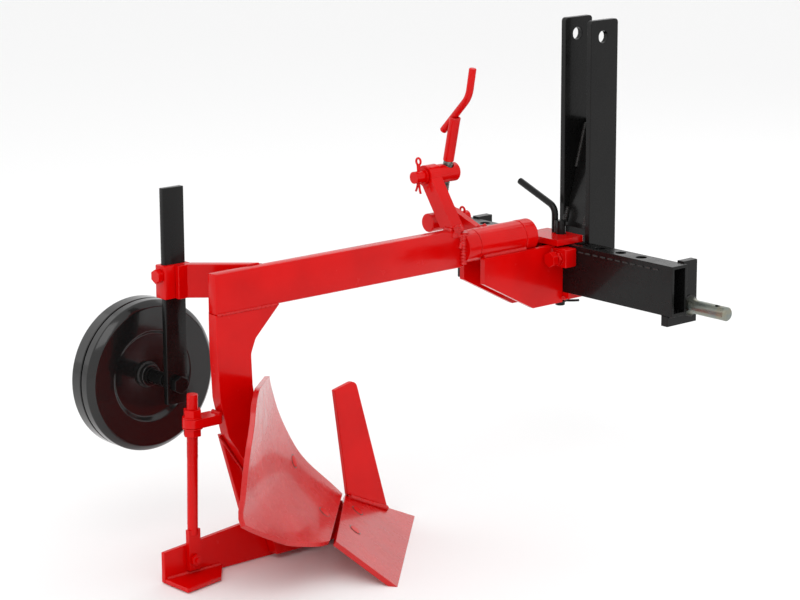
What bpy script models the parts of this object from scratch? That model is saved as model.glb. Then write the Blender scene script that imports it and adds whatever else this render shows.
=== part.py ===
"""Single-furrow, right-hand mouldboard plough for a small tractor's three-point linkage.

Metres. +X is the tractor's right, +Y the way of travel, +Z up. The plough is drawn about the middle of
the toolbar's top rear edge. A last step lowers the whole assembly so that the middle of its footprint
lies at the world origin.
"""

import math

import bmesh
import bpy
from mathutils import Matrix, Vector, geometry

# ---------------------------------------------------------------- driving sizes
GAP = 0.0003                    # between pieces that touch
WELD = 0.00002                  # merge distance for seams of one mesh

# Toolbar and headstock
TOOLBAR_LENGTH = 0.500
TOOLBAR_DEPTH = 0.034
TOOLBAR_HEIGHT = 0.080
TOOLBAR_WALL = 0.005
OFFSET_HOLE_PITCH = 0.045
OFFSET_HOLES_EACH_SIDE = 4
END_PLATE_INSET = 0.0085
END_PLATE_THICKNESS = 0.014
END_PLATE_LENGTH = 0.0655
END_PLATE_RISE = 0.0027
END_PLATE_DROP = 0.017
LINK_PIN_DIAMETER = 0.022
LINK_PIN_REACH = 0.080
LINK_PIN_COLLAR_DIAMETER = 0.030
LINK_PIN_COLLAR_LENGTH = 0.012
LINK_PIN_FORWARD = 0.050
LINK_PIN_DROP = 0.070
LINK_PIN_STUD_DIAMETER = 0.018
LINK_PIN_STUD_LENGTH = 0.034
LYNCH_HOLE_DIAMETER = 0.011
LYNCH_HOLE_FROM_END = 0.020
MAST_SPACING = 0.048            # clear gap between the two mast plates
MAST_THICKNESS = 0.010
MAST_WIDTH = 0.060
MAST_HEIGHT = 0.357             # above the toolbar's top
MAST_CORNER = 0.006
TOP_LINK_HOLE_DIAMETER = 0.020
TOP_LINK_HOLE_DROP = 0.027
TOP_LINK_HOLE_BACK = 0.033
BRACE_THICKNESS = 0.008
BRACE_LOW = 0.020
BRACE_HIGH = 0.190
BRACE_SLOPE = 0.28              # forward run for each unit of rise

# Offset bracket, centred on the pivot tube
PIVOT_X = -0.019
PIVOT_Z = 0.0175
SLEEVE_DIAMETER = 0.0515
SLEEVE_WALL = 0.0065
SLEEVE_REAR = -0.1735
SLEEVE_FRONT = -0.0765
CHEEK_SPACING = 0.038           # clear gap between the two cheek plates
CHEEK_THICKNESS = 0.010
CHEEK_REAR = -0.172
CHEEK_REAR_BOTTOM = -0.042
CHEEK_KNEE = -0.066
CHEEK_BOTTOM = -0.097
CLAMP_WIDTH = 0.084
CLAMP_THICKNESS = 0.010
TOP_PLATE_REAR = -0.026
LUG_THICKNESS = 0.012
LUG_WIDTH = 0.034
CLAMP_BLOCK_WIDTH = 0.031
CLAMP_BLOCK_DEPTH = 0.025
CLAMP_BLOCK_HEIGHT = 0.030
CLAMP_BOLT_DIAMETER = 0.014
CLAMP_BOLT_DROP = 0.018
CLAMP_HEAD_ACROSS = 0.022
CLAMP_HEAD_LENGTH = 0.011
CLAMP_SHANK_SHOWN = 0.011

# Locking pin
LOCK_PIN_DIAMETER = 0.016
LOCK_PIN_CLEARANCE = 0.0008     # all round, in every hole it passes
LOCK_PIN_X = -0.013
LOCK_PIN_RISE = 0.022
LOCK_PIN_DROP = 0.018
LOCK_HANDLE_DIAMETER = 0.011
LOCK_HANDLE_RISE = 0.041
LOCK_HANDLE_REACH = 0.083
LOCK_HANDLE_LIFT = 0.032
LOCK_CLIP_DIAMETER = 0.004

# Beam
BEAM_THICKNESS = 0.020
BEAM_HEIGHT = 0.060
BEAM_REAR = -0.685
BEAM_FRONT = -0.200
SHAFT_DIAMETER = 0.038
SHAFT_COLLAR_DIAMETER = 0.0515
RETAINER_DIAMETER = 0.0525
RETAINER_LENGTH = 0.024
RUNNING_GAP = 0.0006            # between the turning shaft and what it turns in

# Levelling screw, all in the planes just behind the bracket
UPPER_TRUNNION = (-0.0772, 0.1255)   # x and z of the trunnion on the tilt arm
LOWER_TRUNNION = (-0.0955, 0.0445)   # x and z of the trunnion on the bracket's lug
TRUNNION_DIAMETER = 0.030
TRUNNION_REAR = -0.198
TRUNNION_FRONT = -0.150
UPPER_BOSS_FRONT = -0.156
TRUNNION_PIN_DIAMETER = 0.019
UPPER_PIN_REAR = -0.243
LOWER_PIN_FRONT = -0.113
TRUNNION_FACE_GAP = 0.0006
ARM_WIDTH = 0.026
ARM_FOOT_X = -0.0235
ARM_THICKNESS = 0.0223
ARM_REAR = -0.221
ARM_EYE_DIAMETER = 0.034
SCREW_DIAMETER = 0.016
SCREW_CLEARANCE = 0.0018        # all round, in the upper trunnion
SCREW_SHOULDER_DIAMETER = 0.0175
SCREW_SHOULDER_GAP = 0.0055     # between the upper trunnion and the shoulder, left for more tilt
SCREW_LENGTH = 0.181            # from the lower trunnion's axis to the crank
CRANK_DIAMETER = 0.012
CRANK_TAIL = 0.042
CRANK_ARM = 0.043
CRANK_GRIP = 0.047
CRANK_ARM_ANGLE = math.radians(45)      # from the vertical, leaning right
CRANK_GRIP_ANGLE = math.radians(11)

# Plough body
LEG_THICKNESS = 0.020
LAND_PLATE_THICKNESS = 0.008
SHARE_TOP_BACK = -0.426         # landside end of the joint between share and mouldboard
SHARE_TOP_HEIGHT = -0.342
SHARE_POINT_BACK = -0.283
GROUND_HEIGHT = -0.408          # the cutting edge
LAND_CLEARANCE = 0.0015          # the landside's sole above the cutting edge
SHARE_ANGLE = math.radians(44.3)    # of the cutting edge to the way of travel
SHARE_EDGE_LENGTH = 0.340
SHARE_JOINT_LENGTH = 0.214
SHARE_WING_DROP = 0.009         # the joint opens by this much towards the wing
SHARE_THICKNESS = 0.008
LAND_X = -0.0310                # landside edge of share and mouldboard
MOULDBOARD_THICKNESS = 0.008
MOULDBOARD_ROWS = 28
MOULDBOARD_COLUMNS = 7
# height at the shin, rise to the wing, set-back of the shin edge, generator's angle in degrees, its length
MOULDBOARD_STATIONS = (
    (-0.340, 0.000, -0.4315, 45.4, 0.229),
    (-0.318, 0.000, -0.4540, 38.5, 0.290),
    (-0.275, 0.000, -0.5000, 34.8, 0.320),
    (-0.240, 0.000, -0.5270, 37.0, 0.280),
    (-0.190, 0.000, -0.5530, 41.0, 0.238),
    (-0.150, 0.006, -0.5665, 44.5, 0.203),
    (-0.134, 0.014, -0.5705, 45.5, 0.180),
    (-0.127, 0.018, -0.5715, 46.0, 0.140),
)
KNIFE_THICKNESS = 0.008
KNIFE_FOOT_REAR = -0.428
KNIFE_FOOT_FRONT = -0.347
KNIFE_HEEL_RISE = 0.028
KNIFE_TOP_REAR = (-0.4525, -0.1700)
KNIFE_TOP_FRONT = (-0.4100, -0.1600)
KNIFE_CORNER = 0.012
LANDSIDE_REAR = -0.774
LANDSIDE_REAR_HEIGHT = 0.047
LANDSIDE_FRONT = -0.350
LANDSIDE_KNEE = -0.622
LANDSIDE_TOP = -0.3450
HEEL_WIDTH = 0.0565
HEEL_LENGTH = 0.070
HEEL_THICKNESS = 0.007
HEEL_TAPER = 0.013
HEEL_FRONT = -0.668
LEG_WIDTH_TOP_FRONT = -0.567
LEG_NECK_FRONT = -0.622
FROG_TOP = -0.200
FROG_REAR_TOP = -0.667
FROG_REAR_BOTTOM = -0.6245

# Heel brace
BRACE_TOP_X = -0.0195          # the rod leans towards the landside on its way down
BRACE_FOOT_X = -0.0265
BRACE_Y = -0.724
BRACE_ROD_DIAMETER = 0.016
BRACE_ROD_TOP = -0.125
BRACE_EYE_TOP = -0.161
BRACE_EYE_HEIGHT = 0.014
BRACE_EYE_WIDTH = 0.030
BRACE_EYE_CLEARANCE = 0.0006
BRACE_NUT_ACROSS = 0.024
BRACE_NUT_HEIGHT = 0.013
BRACE_FLAT_TOP = -0.342
BRACE_FLAT_BOTTOM = -0.394
BRACE_FLAT_WIDTH = 0.021
BRACE_FLAT_THICKNESS = 0.008

# Gauge wheel and its stem
STEM_X = -0.110
STEM_Y = -0.687
STEM_WIDTH = 0.037
STEM_THICKNESS = 0.010
STEM_TOP = 0.164
STEM_BOTTOM = -0.1635
STEM_CLEARANCE = 0.0008
STEM_SLEEVE_LENGTH = 0.048      # along the way of travel
STEM_SLEEVE_WIDTH = 0.024
STEM_SLEEVE_BOTTOM = -0.001
STEM_SLEEVE_TOP = 0.0495
STEM_SLEEVE_REAR = -0.711
STRAP_THICKNESS = 0.009
STRAP_BEAM_FRONT = -0.588
STRAP_BEAM_LAP = 0.020
SET_BOLT_DIAMETER = 0.012
SET_BOLT_ACROSS = 0.019
SET_BOLT_HEAD = 0.009
SET_BOLT_Z = 0.034
WHEEL_DIAMETER = 0.232
WHEEL_WIDTH = 0.056
WHEEL_NEAR_X = -0.165
WHEEL_WALL = 0.003
WHEEL_SEAM = 0.003
WHEEL_SEAM_PART = 0.60          # of the width, from the stem's side
AXLE_Z = -0.1335
AXLE_DIAMETER = 0.016
AXLE_HEAD_ACROSS = 0.024
AXLE_HEAD_LENGTH = 0.010
HUB_DIAMETER = 0.040

# ---------------------------------------------------------------- places worked out from the sizes
CUT_REACH = 0.004               # how far a cutter runs past what it cuts
TOOLBAR_FRONT = TOOLBAR_DEPTH + GAP
TOOLBAR_BOTTOM = -TOOLBAR_HEIGHT
END_PLATE_OUTER = TOOLBAR_LENGTH / 2 - END_PLATE_INSET
MAST_INNER = MAST_SPACING / 2
MAST_FRONT = TOOLBAR_FRONT + MAST_WIDTH
CHEEK_TOP = -GAP
CLAMP_TOP_LOW = GAP
CLAMP_BOTTOM_TOP = TOOLBAR_BOTTOM - GAP
LOCK_PIN_Y = TOOLBAR_DEPTH / 2
SOLE = GROUND_HEIGHT + LAND_CLEARANCE
LAND_PLATE_RIGHT = PIVOT_X - LEG_THICKNESS / 2 - GAP
LAND_PLATE_LEFT = LAND_PLATE_RIGHT - LAND_PLATE_THICKNESS
BEAM_BOTTOM = PIVOT_Z - BEAM_HEIGHT / 2
BEAM_TOP = PIVOT_Z + BEAM_HEIGHT / 2
COLLAR_FRONT = SLEEVE_REAR - RUNNING_GAP
ARM_FRONT = ARM_REAR + ARM_THICKNESS
WHEEL_X = WHEEL_NEAR_X - WHEEL_WIDTH / 2
SLEEVE_RADIUS = SLEEVE_DIAMETER / 2


# ---------------------------------------------------------------- scene
def clear_scene():
    for obj in list(bpy.data.objects):
        bpy.data.objects.remove(obj, do_unlink=True)


def new_collection(name):
    collection = bpy.data.collections.new(name)
    bpy.context.scene.collection.children.link(collection)
    return collection


def painted(name, colour, roughness, metallic=0.0):
    material = bpy.data.materials.new(name)
    material.use_nodes = True
    shader = material.node_tree.nodes["Principled BSDF"]
    shader.inputs["Base Color"].default_value = (*colour, 1.0)
    shader.inputs["Roughness"].default_value = roughness
    shader.inputs["Metallic"].default_value = metallic
    return material


clear_scene()
PLOUGH = new_collection("mouldboard_plough")
CUTTERS = new_collection("cutters")
RED = painted("red_paint", (0.70, 0.004, 0.004), 0.28)
BLACK = painted("black_paint", (0.012, 0.012, 0.012), 0.30)
ZINC = painted("zinc_plate", (0.50, 0.53, 0.50), 0.35, 1.0)

ROOT = bpy.data.objects.new("plough_root", None)
PLOUGH.objects.link(ROOT)


def joint_empty(name, place, parent=None):
    """An empty on a joint's axis. Its pieces are still placed in the design frame."""
    empty = bpy.data.objects.new(name, None)
    PLOUGH.objects.link(empty)
    empty.parent = parent or ROOT
    if parent:
        empty.matrix_parent_inverse = Matrix.Translation(-Vector(parent["place"]))
    empty.location = place
    empty["place"] = place
    return empty


TILT = joint_empty("tilt_axis", (PIVOT_X, BEAM_FRONT, PIVOT_Z))
SCREW_SWING = joint_empty("screw_axis", (LOWER_TRUNNION[0], TRUNNION_REAR, LOWER_TRUNNION[1]))
ARM_SWING = joint_empty("arm_trunnion_axis", (UPPER_TRUNNION[0], TRUNNION_REAR, UPPER_TRUNNION[1]), TILT)
STEM_SLIDE = joint_empty("stem_axis", (STEM_X, STEM_Y, STEM_SLEEVE_BOTTOM), TILT)
WHEEL_SPIN = joint_empty("wheel_axis", (WHEEL_X, STEM_Y, AXLE_Z), STEM_SLIDE)


def place(obj, matrix, parent, material):
    """Puts a piece where matrix says in the design frame and hangs it on its joint's empty."""
    if obj.name not in PLOUGH.objects:
        PLOUGH.objects.link(obj)
    obj.parent = parent or ROOT
    if parent:
        obj.matrix_parent_inverse = Matrix.Translation(-Vector(parent["place"]))
    obj.matrix_basis = matrix
    if material:
        obj.data.materials.clear()
        obj.data.materials.append(material)
    return obj


def smooth_by_angle(mesh, degrees=32.0):
    mesh.shade_smooth()
    mesh.set_sharp_from_angle(angle=math.radians(degrees))


# ---------------------------------------------------------------- shapes
# Local x, y, z of a plate's outline and thickness, and of a turned piece, in each facing.
FACING = {
    "X": Matrix(((0, 0, 1, 0), (1, 0, 0, 0), (0, 1, 0, 0), (0, 0, 0, 1))),
    "Y": Matrix(((-1, 0, 0, 0), (0, 0, 1, 0), (0, 1, 0, 0), (0, 0, 0, 1))),
    "Z": Matrix.Identity(4),
}


def rounded(outline, steps=5):
    """Replaces each corner given as (u, v, radius) by an arc."""
    points = []
    count = len(outline)
    for index, corner in enumerate(outline):
        here = Vector(corner[:2])
        if len(corner) == 2:
            points.append(here)
            continue
        before = (Vector(outline[index - 1][:2]) - here).normalized()
        after = (Vector(outline[(index + 1) % count][:2]) - here).normalized()
        half = before.angle(after) / 2
        reach = corner[2] / math.tan(half)
        centre = here + (before + after).normalized() * corner[2] / math.sin(half)
        start = here + before * reach - centre
        sweep = (here + after * reach - centre).angle_signed(start)
        for step in range(steps + 1):
            turned_by = Matrix.Rotation(sweep * step / steps, 2)
            points.append(centre + turned_by @ start)
    return points


def plate(name, outline, facing, low, thickness, material, parent=None, arc_steps=5):
    """A flat outline extruded from low to low + thickness along the facing axis.

    Outlines are (y, z) for facing X, (x, z) for facing Y and (x, y) for facing Z.
    """
    if facing == "Y":
        outline = [(-corner[0], *corner[1:]) for corner in outline]
    points = rounded(outline, arc_steps)
    curve = bpy.data.curves.new(name, "CURVE")
    curve.dimensions = "2D"
    curve.fill_mode = "BOTH"
    curve.extrude = thickness / 2
    spline = curve.splines.new("POLY")
    spline.points.add(len(points) - 1)
    for slot, point in zip(spline.points, points):
        slot.co = (*point, 0.0, 1.0)
    spline.use_cyclic_u = True
    drawn = bpy.data.objects.new(name + "_outline", curve)
    PLOUGH.objects.link(drawn)
    obj = as_mesh(drawn, name)
    matrix = Matrix.Translation(axis_vector(facing, low + thickness / 2)) @ FACING[facing]
    return place(obj, matrix, parent, material)


def as_mesh(drawn, name):
    """A mesh object from a curve, with the caps welded on."""
    bpy.context.view_layer.update()
    graph = bpy.context.evaluated_depsgraph_get()
    mesh = bpy.data.meshes.new_from_object(drawn.evaluated_get(graph))
    shape = bmesh.new()
    shape.from_mesh(mesh)
    bmesh.ops.remove_doubles(shape, verts=shape.verts, dist=WELD)
    bmesh.ops.recalc_face_normals(shape, faces=shape.faces)
    shape.to_mesh(mesh)
    shape.free()
    smooth_by_angle(mesh)
    obj = bpy.data.objects.new(name, mesh)
    PLOUGH.objects.link(obj)
    obj.matrix_world = drawn.matrix_world
    data = drawn.data
    bpy.data.objects.remove(drawn, do_unlink=True)
    bpy.data.curves.remove(data)
    return obj


def axis_vector(axis, amount):
    return Vector([amount if name == axis else 0.0 for name in "XYZ"])


def box(name, low, high, material, parent=None, bevel=0.0):
    mesh = bpy.data.meshes.new(name)
    shape = bmesh.new()
    bmesh.ops.create_cube(shape, size=1.0)
    size = [b - a for a, b in zip(low, high)]
    bmesh.ops.scale(shape, vec=size, verts=shape.verts)
    shape.to_mesh(mesh)
    shape.free()
    obj = bpy.data.objects.new(name, mesh)
    middle = [(a + b) / 2 for a, b in zip(low, high)]
    place(obj, Matrix.Translation(middle), parent, material)
    if bevel:
        soften(obj, bevel)
    return obj


def soften(obj, width, segments=2):
    modifier = obj.modifiers.new("edges", "BEVEL")
    modifier.width = width
    modifier.segments = segments
    modifier.limit_method = "ANGLE"
    modifier.angle_limit = math.radians(50)


def pointing(start, end):
    """Local z runs from start towards end."""
    way = Vector(end) - Vector(start)
    return Matrix.Translation(start) @ way.to_track_quat("Z", "Y").to_matrix().to_4x4()


def cylinder_mesh(name, radius, length, segments, far_radius=None):
    mesh = bpy.data.meshes.new(name)
    shape = bmesh.new()
    bmesh.ops.create_cone(
        shape,
        cap_ends=True,
        segments=segments,
        radius1=radius,
        radius2=radius if far_radius is None else far_radius,
        depth=length,
    )
    bmesh.ops.translate(shape, vec=(0, 0, length / 2), verts=shape.verts)
    shape.to_mesh(mesh)
    shape.free()
    smooth_by_angle(mesh)
    return mesh


def rod(name, start, end, diameter, material, parent=None, segments=20):
    """A straight round bar between two points."""
    length = (Vector(end) - Vector(start)).length
    obj = bpy.data.objects.new(name, cylinder_mesh(name, diameter / 2, length, segments))
    return place(obj, pointing(start, end), parent, material)


def hexagon(name, start, end, across, material, parent=None):
    """A hexagonal head or nut between two points, across its flats."""
    length = (Vector(end) - Vector(start)).length
    mesh = cylinder_mesh(name, across / 2 / math.cos(math.pi / 6), length, 6)
    return place(bpy.data.objects.new(name, mesh), pointing(start, end), parent, material)


def turned(name, profile, start, end, material, parent=None, steps=32, closed=False):
    """A profile of (radius, distance) turned about the line from start to end.

    An open profile ends on the axis. It is listed from the far end to the near end.
    """
    mesh = bpy.data.meshes.new(name)
    shape = bmesh.new()
    corners = [shape.verts.new((radius, 0.0, distance)) for radius, distance in profile]
    for first, second in zip(corners, corners[1:]):
        shape.edges.new((first, second))
    if closed:
        shape.edges.new((corners[-1], corners[0]))
    shape.to_mesh(mesh)
    shape.free()
    obj = bpy.data.objects.new(name, mesh)
    screw = obj.modifiers.new("turn", "SCREW")
    screw.axis = "Z"
    screw.steps = screw.render_steps = steps
    screw.use_merge_vertices = True
    screw.merge_threshold = WELD
    screw.use_smooth_shade = False
    return place(obj, pointing(start, end), parent, material)


def bent_rod(name, points, diameter, material, parent=None, fillet=0.012, bevel_resolution=3):
    """A round bar bent to the points, with a rounded bend at each inner one."""
    path = [Vector(points[0])]
    for before, here, after in zip(points, points[1:], points[2:]):
        back = (Vector(before) - Vector(here)).normalized() * fillet
        ahead = (Vector(after) - Vector(here)).normalized() * fillet
        middle = Vector(here)
        path += geometry.interpolate_bezier(
            middle + back, middle + back * 0.4, middle + ahead * 0.4, middle + ahead, 6
        )
    path.append(Vector(points[-1]))
    curve = bpy.data.curves.new(name, "CURVE")
    curve.dimensions = "3D"
    curve.bevel_depth = diameter / 2
    curve.bevel_resolution = bevel_resolution
    curve.use_fill_caps = True
    spline = curve.splines.new("POLY")
    spline.points.add(len(path) - 1)
    for slot, point in zip(spline.points, path):
        slot.co = (*point, 1.0)
    drawn = bpy.data.objects.new(name + "_path", curve)
    PLOUGH.objects.link(drawn)
    return place(as_mesh(drawn, name), Matrix.Identity(4), parent, material)


def cut(target, cutter, operation="DIFFERENCE"):
    """Cuts target by cutter, which is hidden and kept in its own collection."""
    for collection in cutter.users_collection:
        collection.objects.unlink(cutter)
    CUTTERS.objects.link(cutter)
    cutter.hide_render = True
    cutter.display_type = "WIRE"
    modifier = target.modifiers.new(cutter.name, "BOOLEAN")
    modifier.operation = operation
    modifier.solver = "EXACT"
    modifier.object = cutter
    return modifier


def bore(target, start, end, diameter, segments=20, parent=None):
    """A round hole through target, run past both ends."""
    way = (Vector(end) - Vector(start)).normalized() * CUT_REACH
    name = f"{target.name}_hole_{len(target.modifiers)}"
    cut(target, rod(name, Vector(start) - way, Vector(end) + way, diameter, None, parent, segments))


# ---------------------------------------------------------------- headstock
def build_toolbar():
    half = TOOLBAR_LENGTH / 2
    bar = box("toolbar", (-half, 0, TOOLBAR_BOTTOM), (half, TOOLBAR_DEPTH, 0), BLACK)
    hollow = box(
        "toolbar_hollow",
        (-half - CUT_REACH, TOOLBAR_WALL, TOOLBAR_BOTTOM + TOOLBAR_WALL),
        (half + CUT_REACH, TOOLBAR_DEPTH - TOOLBAR_WALL, -TOOLBAR_WALL),
        None,
    )
    cut(bar, hollow)
    for number in range(-OFFSET_HOLES_EACH_SIDE, OFFSET_HOLES_EACH_SIDE + 1):
        x = LOCK_PIN_X + number * OFFSET_HOLE_PITCH
        diameter = LOCK_PIN_DIAMETER + 2 * LOCK_PIN_CLEARANCE
        bore(bar, (x, LOCK_PIN_Y, TOOLBAR_BOTTOM), (x, LOCK_PIN_Y, 0), diameter, 16)


def build_end_plate(side, sign):
    low = TOOLBAR_BOTTOM - END_PLATE_DROP
    outline = [
        (0, low),
        (END_PLATE_LENGTH, low),
        (END_PLATE_LENGTH, END_PLATE_RISE),
        (TOOLBAR_FRONT, END_PLATE_RISE),
        (TOOLBAR_FRONT, TOOLBAR_BOTTOM - GAP),
        (0, TOOLBAR_BOTTOM - GAP),
    ]
    inner = END_PLATE_OUTER - END_PLATE_THICKNESS
    left_face = inner if sign > 0 else -END_PLATE_OUTER
    made = plate(f"end_plate_{side}", outline, "X", left_face, END_PLATE_THICKNESS, BLACK)
    hole = LINK_PIN_STUD_DIAMETER + 2 * GAP
    axis = (LINK_PIN_FORWARD, -LINK_PIN_DROP)
    bore(made, (sign * inner, *axis), (sign * END_PLATE_OUTER, *axis), hole)


def build_link_pin(side, sign):
    collar, shank, stud = LINK_PIN_COLLAR_DIAMETER / 2, LINK_PIN_DIAMETER / 2, LINK_PIN_STUD_DIAMETER / 2
    chamfer = 0.002
    reach = LINK_PIN_REACH
    profile = [
        (0, reach),
        (shank - chamfer, reach),
        (shank, reach - chamfer),
        (shank, LINK_PIN_COLLAR_LENGTH),
        (collar, LINK_PIN_COLLAR_LENGTH / 4),
        (collar, GAP),
        (stud, GAP),
        (stud, -LINK_PIN_STUD_LENGTH),
        (0, -LINK_PIN_STUD_LENGTH),
    ]
    base = Vector((sign * END_PLATE_OUTER, LINK_PIN_FORWARD, -LINK_PIN_DROP))
    outwards = Vector((sign, 0, 0))
    pin = turned(f"lower_pin_{side}", profile, base, base + outwards, ZINC, steps=24)
    x = sign * (END_PLATE_OUTER + reach - LYNCH_HOLE_FROM_END)
    middle = Vector((x, LINK_PIN_FORWARD, -LINK_PIN_DROP))
    bore(pin, middle - Vector((0, 0, shank)), middle + Vector((0, 0, shank)), LYNCH_HOLE_DIAMETER, 12)


def build_mast():
    outline = [
        (TOOLBAR_FRONT, TOOLBAR_BOTTOM),
        (MAST_FRONT, TOOLBAR_BOTTOM),
        (MAST_FRONT, MAST_HEIGHT, MAST_CORNER),
        (TOOLBAR_FRONT, MAST_HEIGHT, MAST_CORNER),
    ]
    hole_y = MAST_FRONT - TOP_LINK_HOLE_BACK
    hole_z = MAST_HEIGHT - TOP_LINK_HOLE_DROP
    for side, left_face in (("left", -MAST_INNER - MAST_THICKNESS), ("right", MAST_INNER)):
        made = plate(f"mast_plate_{side}", outline, "X", left_face, MAST_THICKNESS, BLACK)
        right_face = left_face + MAST_THICKNESS
        bore(made, (left_face, hole_y, hole_z), (right_face, hole_y, hole_z), TOP_LINK_HOLE_DIAMETER, 24)
    rise = BRACE_HIGH - BRACE_LOW
    foot = TOOLBAR_FRONT + GAP
    brace = [
        (foot, BRACE_LOW),
        (foot + BRACE_THICKNESS, BRACE_LOW),
        (foot + BRACE_THICKNESS + rise * BRACE_SLOPE, BRACE_HIGH),
        (foot + rise * BRACE_SLOPE, BRACE_HIGH),
    ]
    plate("mast_brace", brace, "X", -MAST_INNER + GAP, MAST_SPACING - 2 * GAP, BLACK)


# ---------------------------------------------------------------- offset bracket
def build_cheeks():
    outline = [
        (CHEEK_REAR, CHEEK_REAR_BOTTOM),
        (CHEEK_KNEE, CHEEK_BOTTOM),
        (-GAP, CHEEK_BOTTOM),
        (-GAP, CHEEK_TOP),
        (CHEEK_REAR, CHEEK_TOP),
    ]
    half = CHEEK_SPACING / 2
    for side, left_face in (("left", PIVOT_X - half - CHEEK_THICKNESS), ("right", PIVOT_X + half)):
        cheek = plate(f"bracket_cheek_{side}", outline, "X", left_face, CHEEK_THICKNESS, RED)
        diameter = SLEEVE_DIAMETER + 2 * GAP
        bore(cheek, (PIVOT_X, CHEEK_REAR, PIVOT_Z), (PIVOT_X, SLEEVE_FRONT - CUT_REACH, PIVOT_Z), diameter, 32)
        retainer = RETAINER_DIAMETER + 4 * RUNNING_GAP
        front = SLEEVE_FRONT + RETAINER_LENGTH + CUT_REACH
        bore(cheek, (PIVOT_X, SLEEVE_FRONT + CUT_REACH, PIVOT_Z), (PIVOT_X, front, PIVOT_Z), retainer, 32)


def build_clamp_plates():
    left, right = PIVOT_X - CLAMP_WIDTH / 2, PIVOT_X + CLAMP_WIDTH / 2
    clearance = LOCK_PIN_DIAMETER + 2 * LOCK_PIN_CLEARANCE
    sheets = (
        ("bracket_top_plate", TOP_PLATE_REAR, CLAMP_TOP_LOW),
        ("bracket_bottom_plate", GAP, CLAMP_BOTTOM_TOP - CLAMP_THICKNESS),
    )
    for name, rear, low in sheets:
        outline = [(left, rear), (right, rear), (right, TOOLBAR_DEPTH, 0.004), (left, TOOLBAR_DEPTH, 0.004)]
        sheet = plate(name, outline, "Z", low, CLAMP_THICKNESS, RED)
        high = low + CLAMP_THICKNESS
        bore(sheet, (LOCK_PIN_X, LOCK_PIN_Y, low), (LOCK_PIN_X, LOCK_PIN_Y, high), clearance)


def build_sleeve_and_lug():
    inner = SLEEVE_RADIUS - SLEEVE_WALL
    length = SLEEVE_FRONT - SLEEVE_REAR
    profile = [(SLEEVE_RADIUS, length), (SLEEVE_RADIUS, 0), (inner, 0), (inner, length)]
    start = (PIVOT_X, SLEEVE_REAR, PIVOT_Z)
    turned("pivot_sleeve", profile, start, (PIVOT_X, SLEEVE_FRONT, PIVOT_Z), RED, closed=True)
    trunnion, pivot = Vector(LOWER_TRUNNION), Vector((PIVOT_X, PIVOT_Z))
    way = (pivot - trunnion).normalized()
    side = Vector((-way.y, way.x)) * LUG_WIDTH / 2
    outline = [trunnion + side - way * LUG_WIDTH / 2, trunnion - side - way * LUG_WIDTH / 2, pivot - side, pivot + side]
    corners = [(*outline[0], 0.012), (*outline[1], 0.012), tuple(outline[2]), tuple(outline[3])]
    low = TRUNNION_FRONT + TRUNNION_FACE_GAP
    lug = plate("screw_lug", corners, "Y", low, LUG_THICKNESS, RED)
    high = low + LUG_THICKNESS
    bore(lug, (PIVOT_X, low, PIVOT_Z), (PIVOT_X, high, PIVOT_Z), SLEEVE_DIAMETER + 2 * GAP, 32)
    hole = TRUNNION_PIN_DIAMETER + 2 * RUNNING_GAP
    bore(lug, (trunnion.x, low, trunnion.y), (trunnion.x, high, trunnion.y), hole, 24)


def build_clamp_bolt():
    cheek_face = PIVOT_X + CHEEK_SPACING / 2 + CHEEK_THICKNESS
    x = cheek_face + GAP + CLAMP_BLOCK_WIDTH / 2
    z = -CLAMP_BOLT_DROP
    half, half_height = CLAMP_BLOCK_WIDTH / 2, CLAMP_BLOCK_HEIGHT / 2
    rear = -CLAMP_BLOCK_DEPTH
    block = box("clamp_block", (x - half, rear, z - half_height), (x + half, -GAP, z + half_height), RED, bevel=0.002)
    bore(block, (x, rear, z), (x, 0, z), CLAMP_BOLT_DIAMETER + 2 * GAP)
    shank_rear = rear - CLAMP_SHANK_SHOWN
    head_rear = shank_rear - CLAMP_HEAD_LENGTH
    head = hexagon("clamp_bolt", (x, head_rear, z), (x, shank_rear, z), CLAMP_HEAD_ACROSS, RED)
    shank = rod("clamp_bolt_shank", (x, head_rear + GAP, z), (x, -2 * GAP, z), CLAMP_BOLT_DIAMETER, None)
    cut(head, shank, "UNION")


def build_locking_pin():
    low = CLAMP_BOTTOM_TOP - CLAMP_THICKNESS - LOCK_PIN_DROP
    high = CLAMP_TOP_LOW + CLAMP_THICKNESS + LOCK_PIN_RISE
    rod("locking_pin", (LOCK_PIN_X, LOCK_PIN_Y, low), (LOCK_PIN_X, LOCK_PIN_Y, high), LOCK_PIN_DIAMETER, BLACK)
    x = LOCK_PIN_X - LOCK_PIN_DIAMETER / 2 - LOCK_HANDLE_DIAMETER / 2 - GAP
    foot = CLAMP_TOP_LOW + CLAMP_THICKNESS + GAP
    bend = foot + LOCK_HANDLE_RISE
    points = [(x, LOCK_PIN_Y, foot), (x, LOCK_PIN_Y, bend)]
    points.append((x - LOCK_HANDLE_REACH, LOCK_PIN_Y, bend + LOCK_HANDLE_LIFT))
    bent_rod("locking_pin_handle", points, LOCK_HANDLE_DIAMETER, BLACK)
    ring = LOCK_PIN_DIAMETER / 2 + LOCK_CLIP_DIAMETER / 2 + GAP
    clip_z = CLAMP_BOTTOM_TOP - CLAMP_THICKNESS - LOCK_CLIP_DIAMETER / 2 - GAP
    wire = LOCK_CLIP_DIAMETER / 2
    profile = []
    for corner in range(8):
        angle = -2 * math.pi * (corner + 0.5) / 8
        profile.append((ring + wire * math.cos(angle), wire * math.sin(angle)))
    centre = (LOCK_PIN_X, LOCK_PIN_Y, clip_z)
    top = (LOCK_PIN_X, LOCK_PIN_Y, clip_z + 1)
    turned("locking_clip", profile, centre, top, BLACK, steps=20, closed=True)


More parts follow.
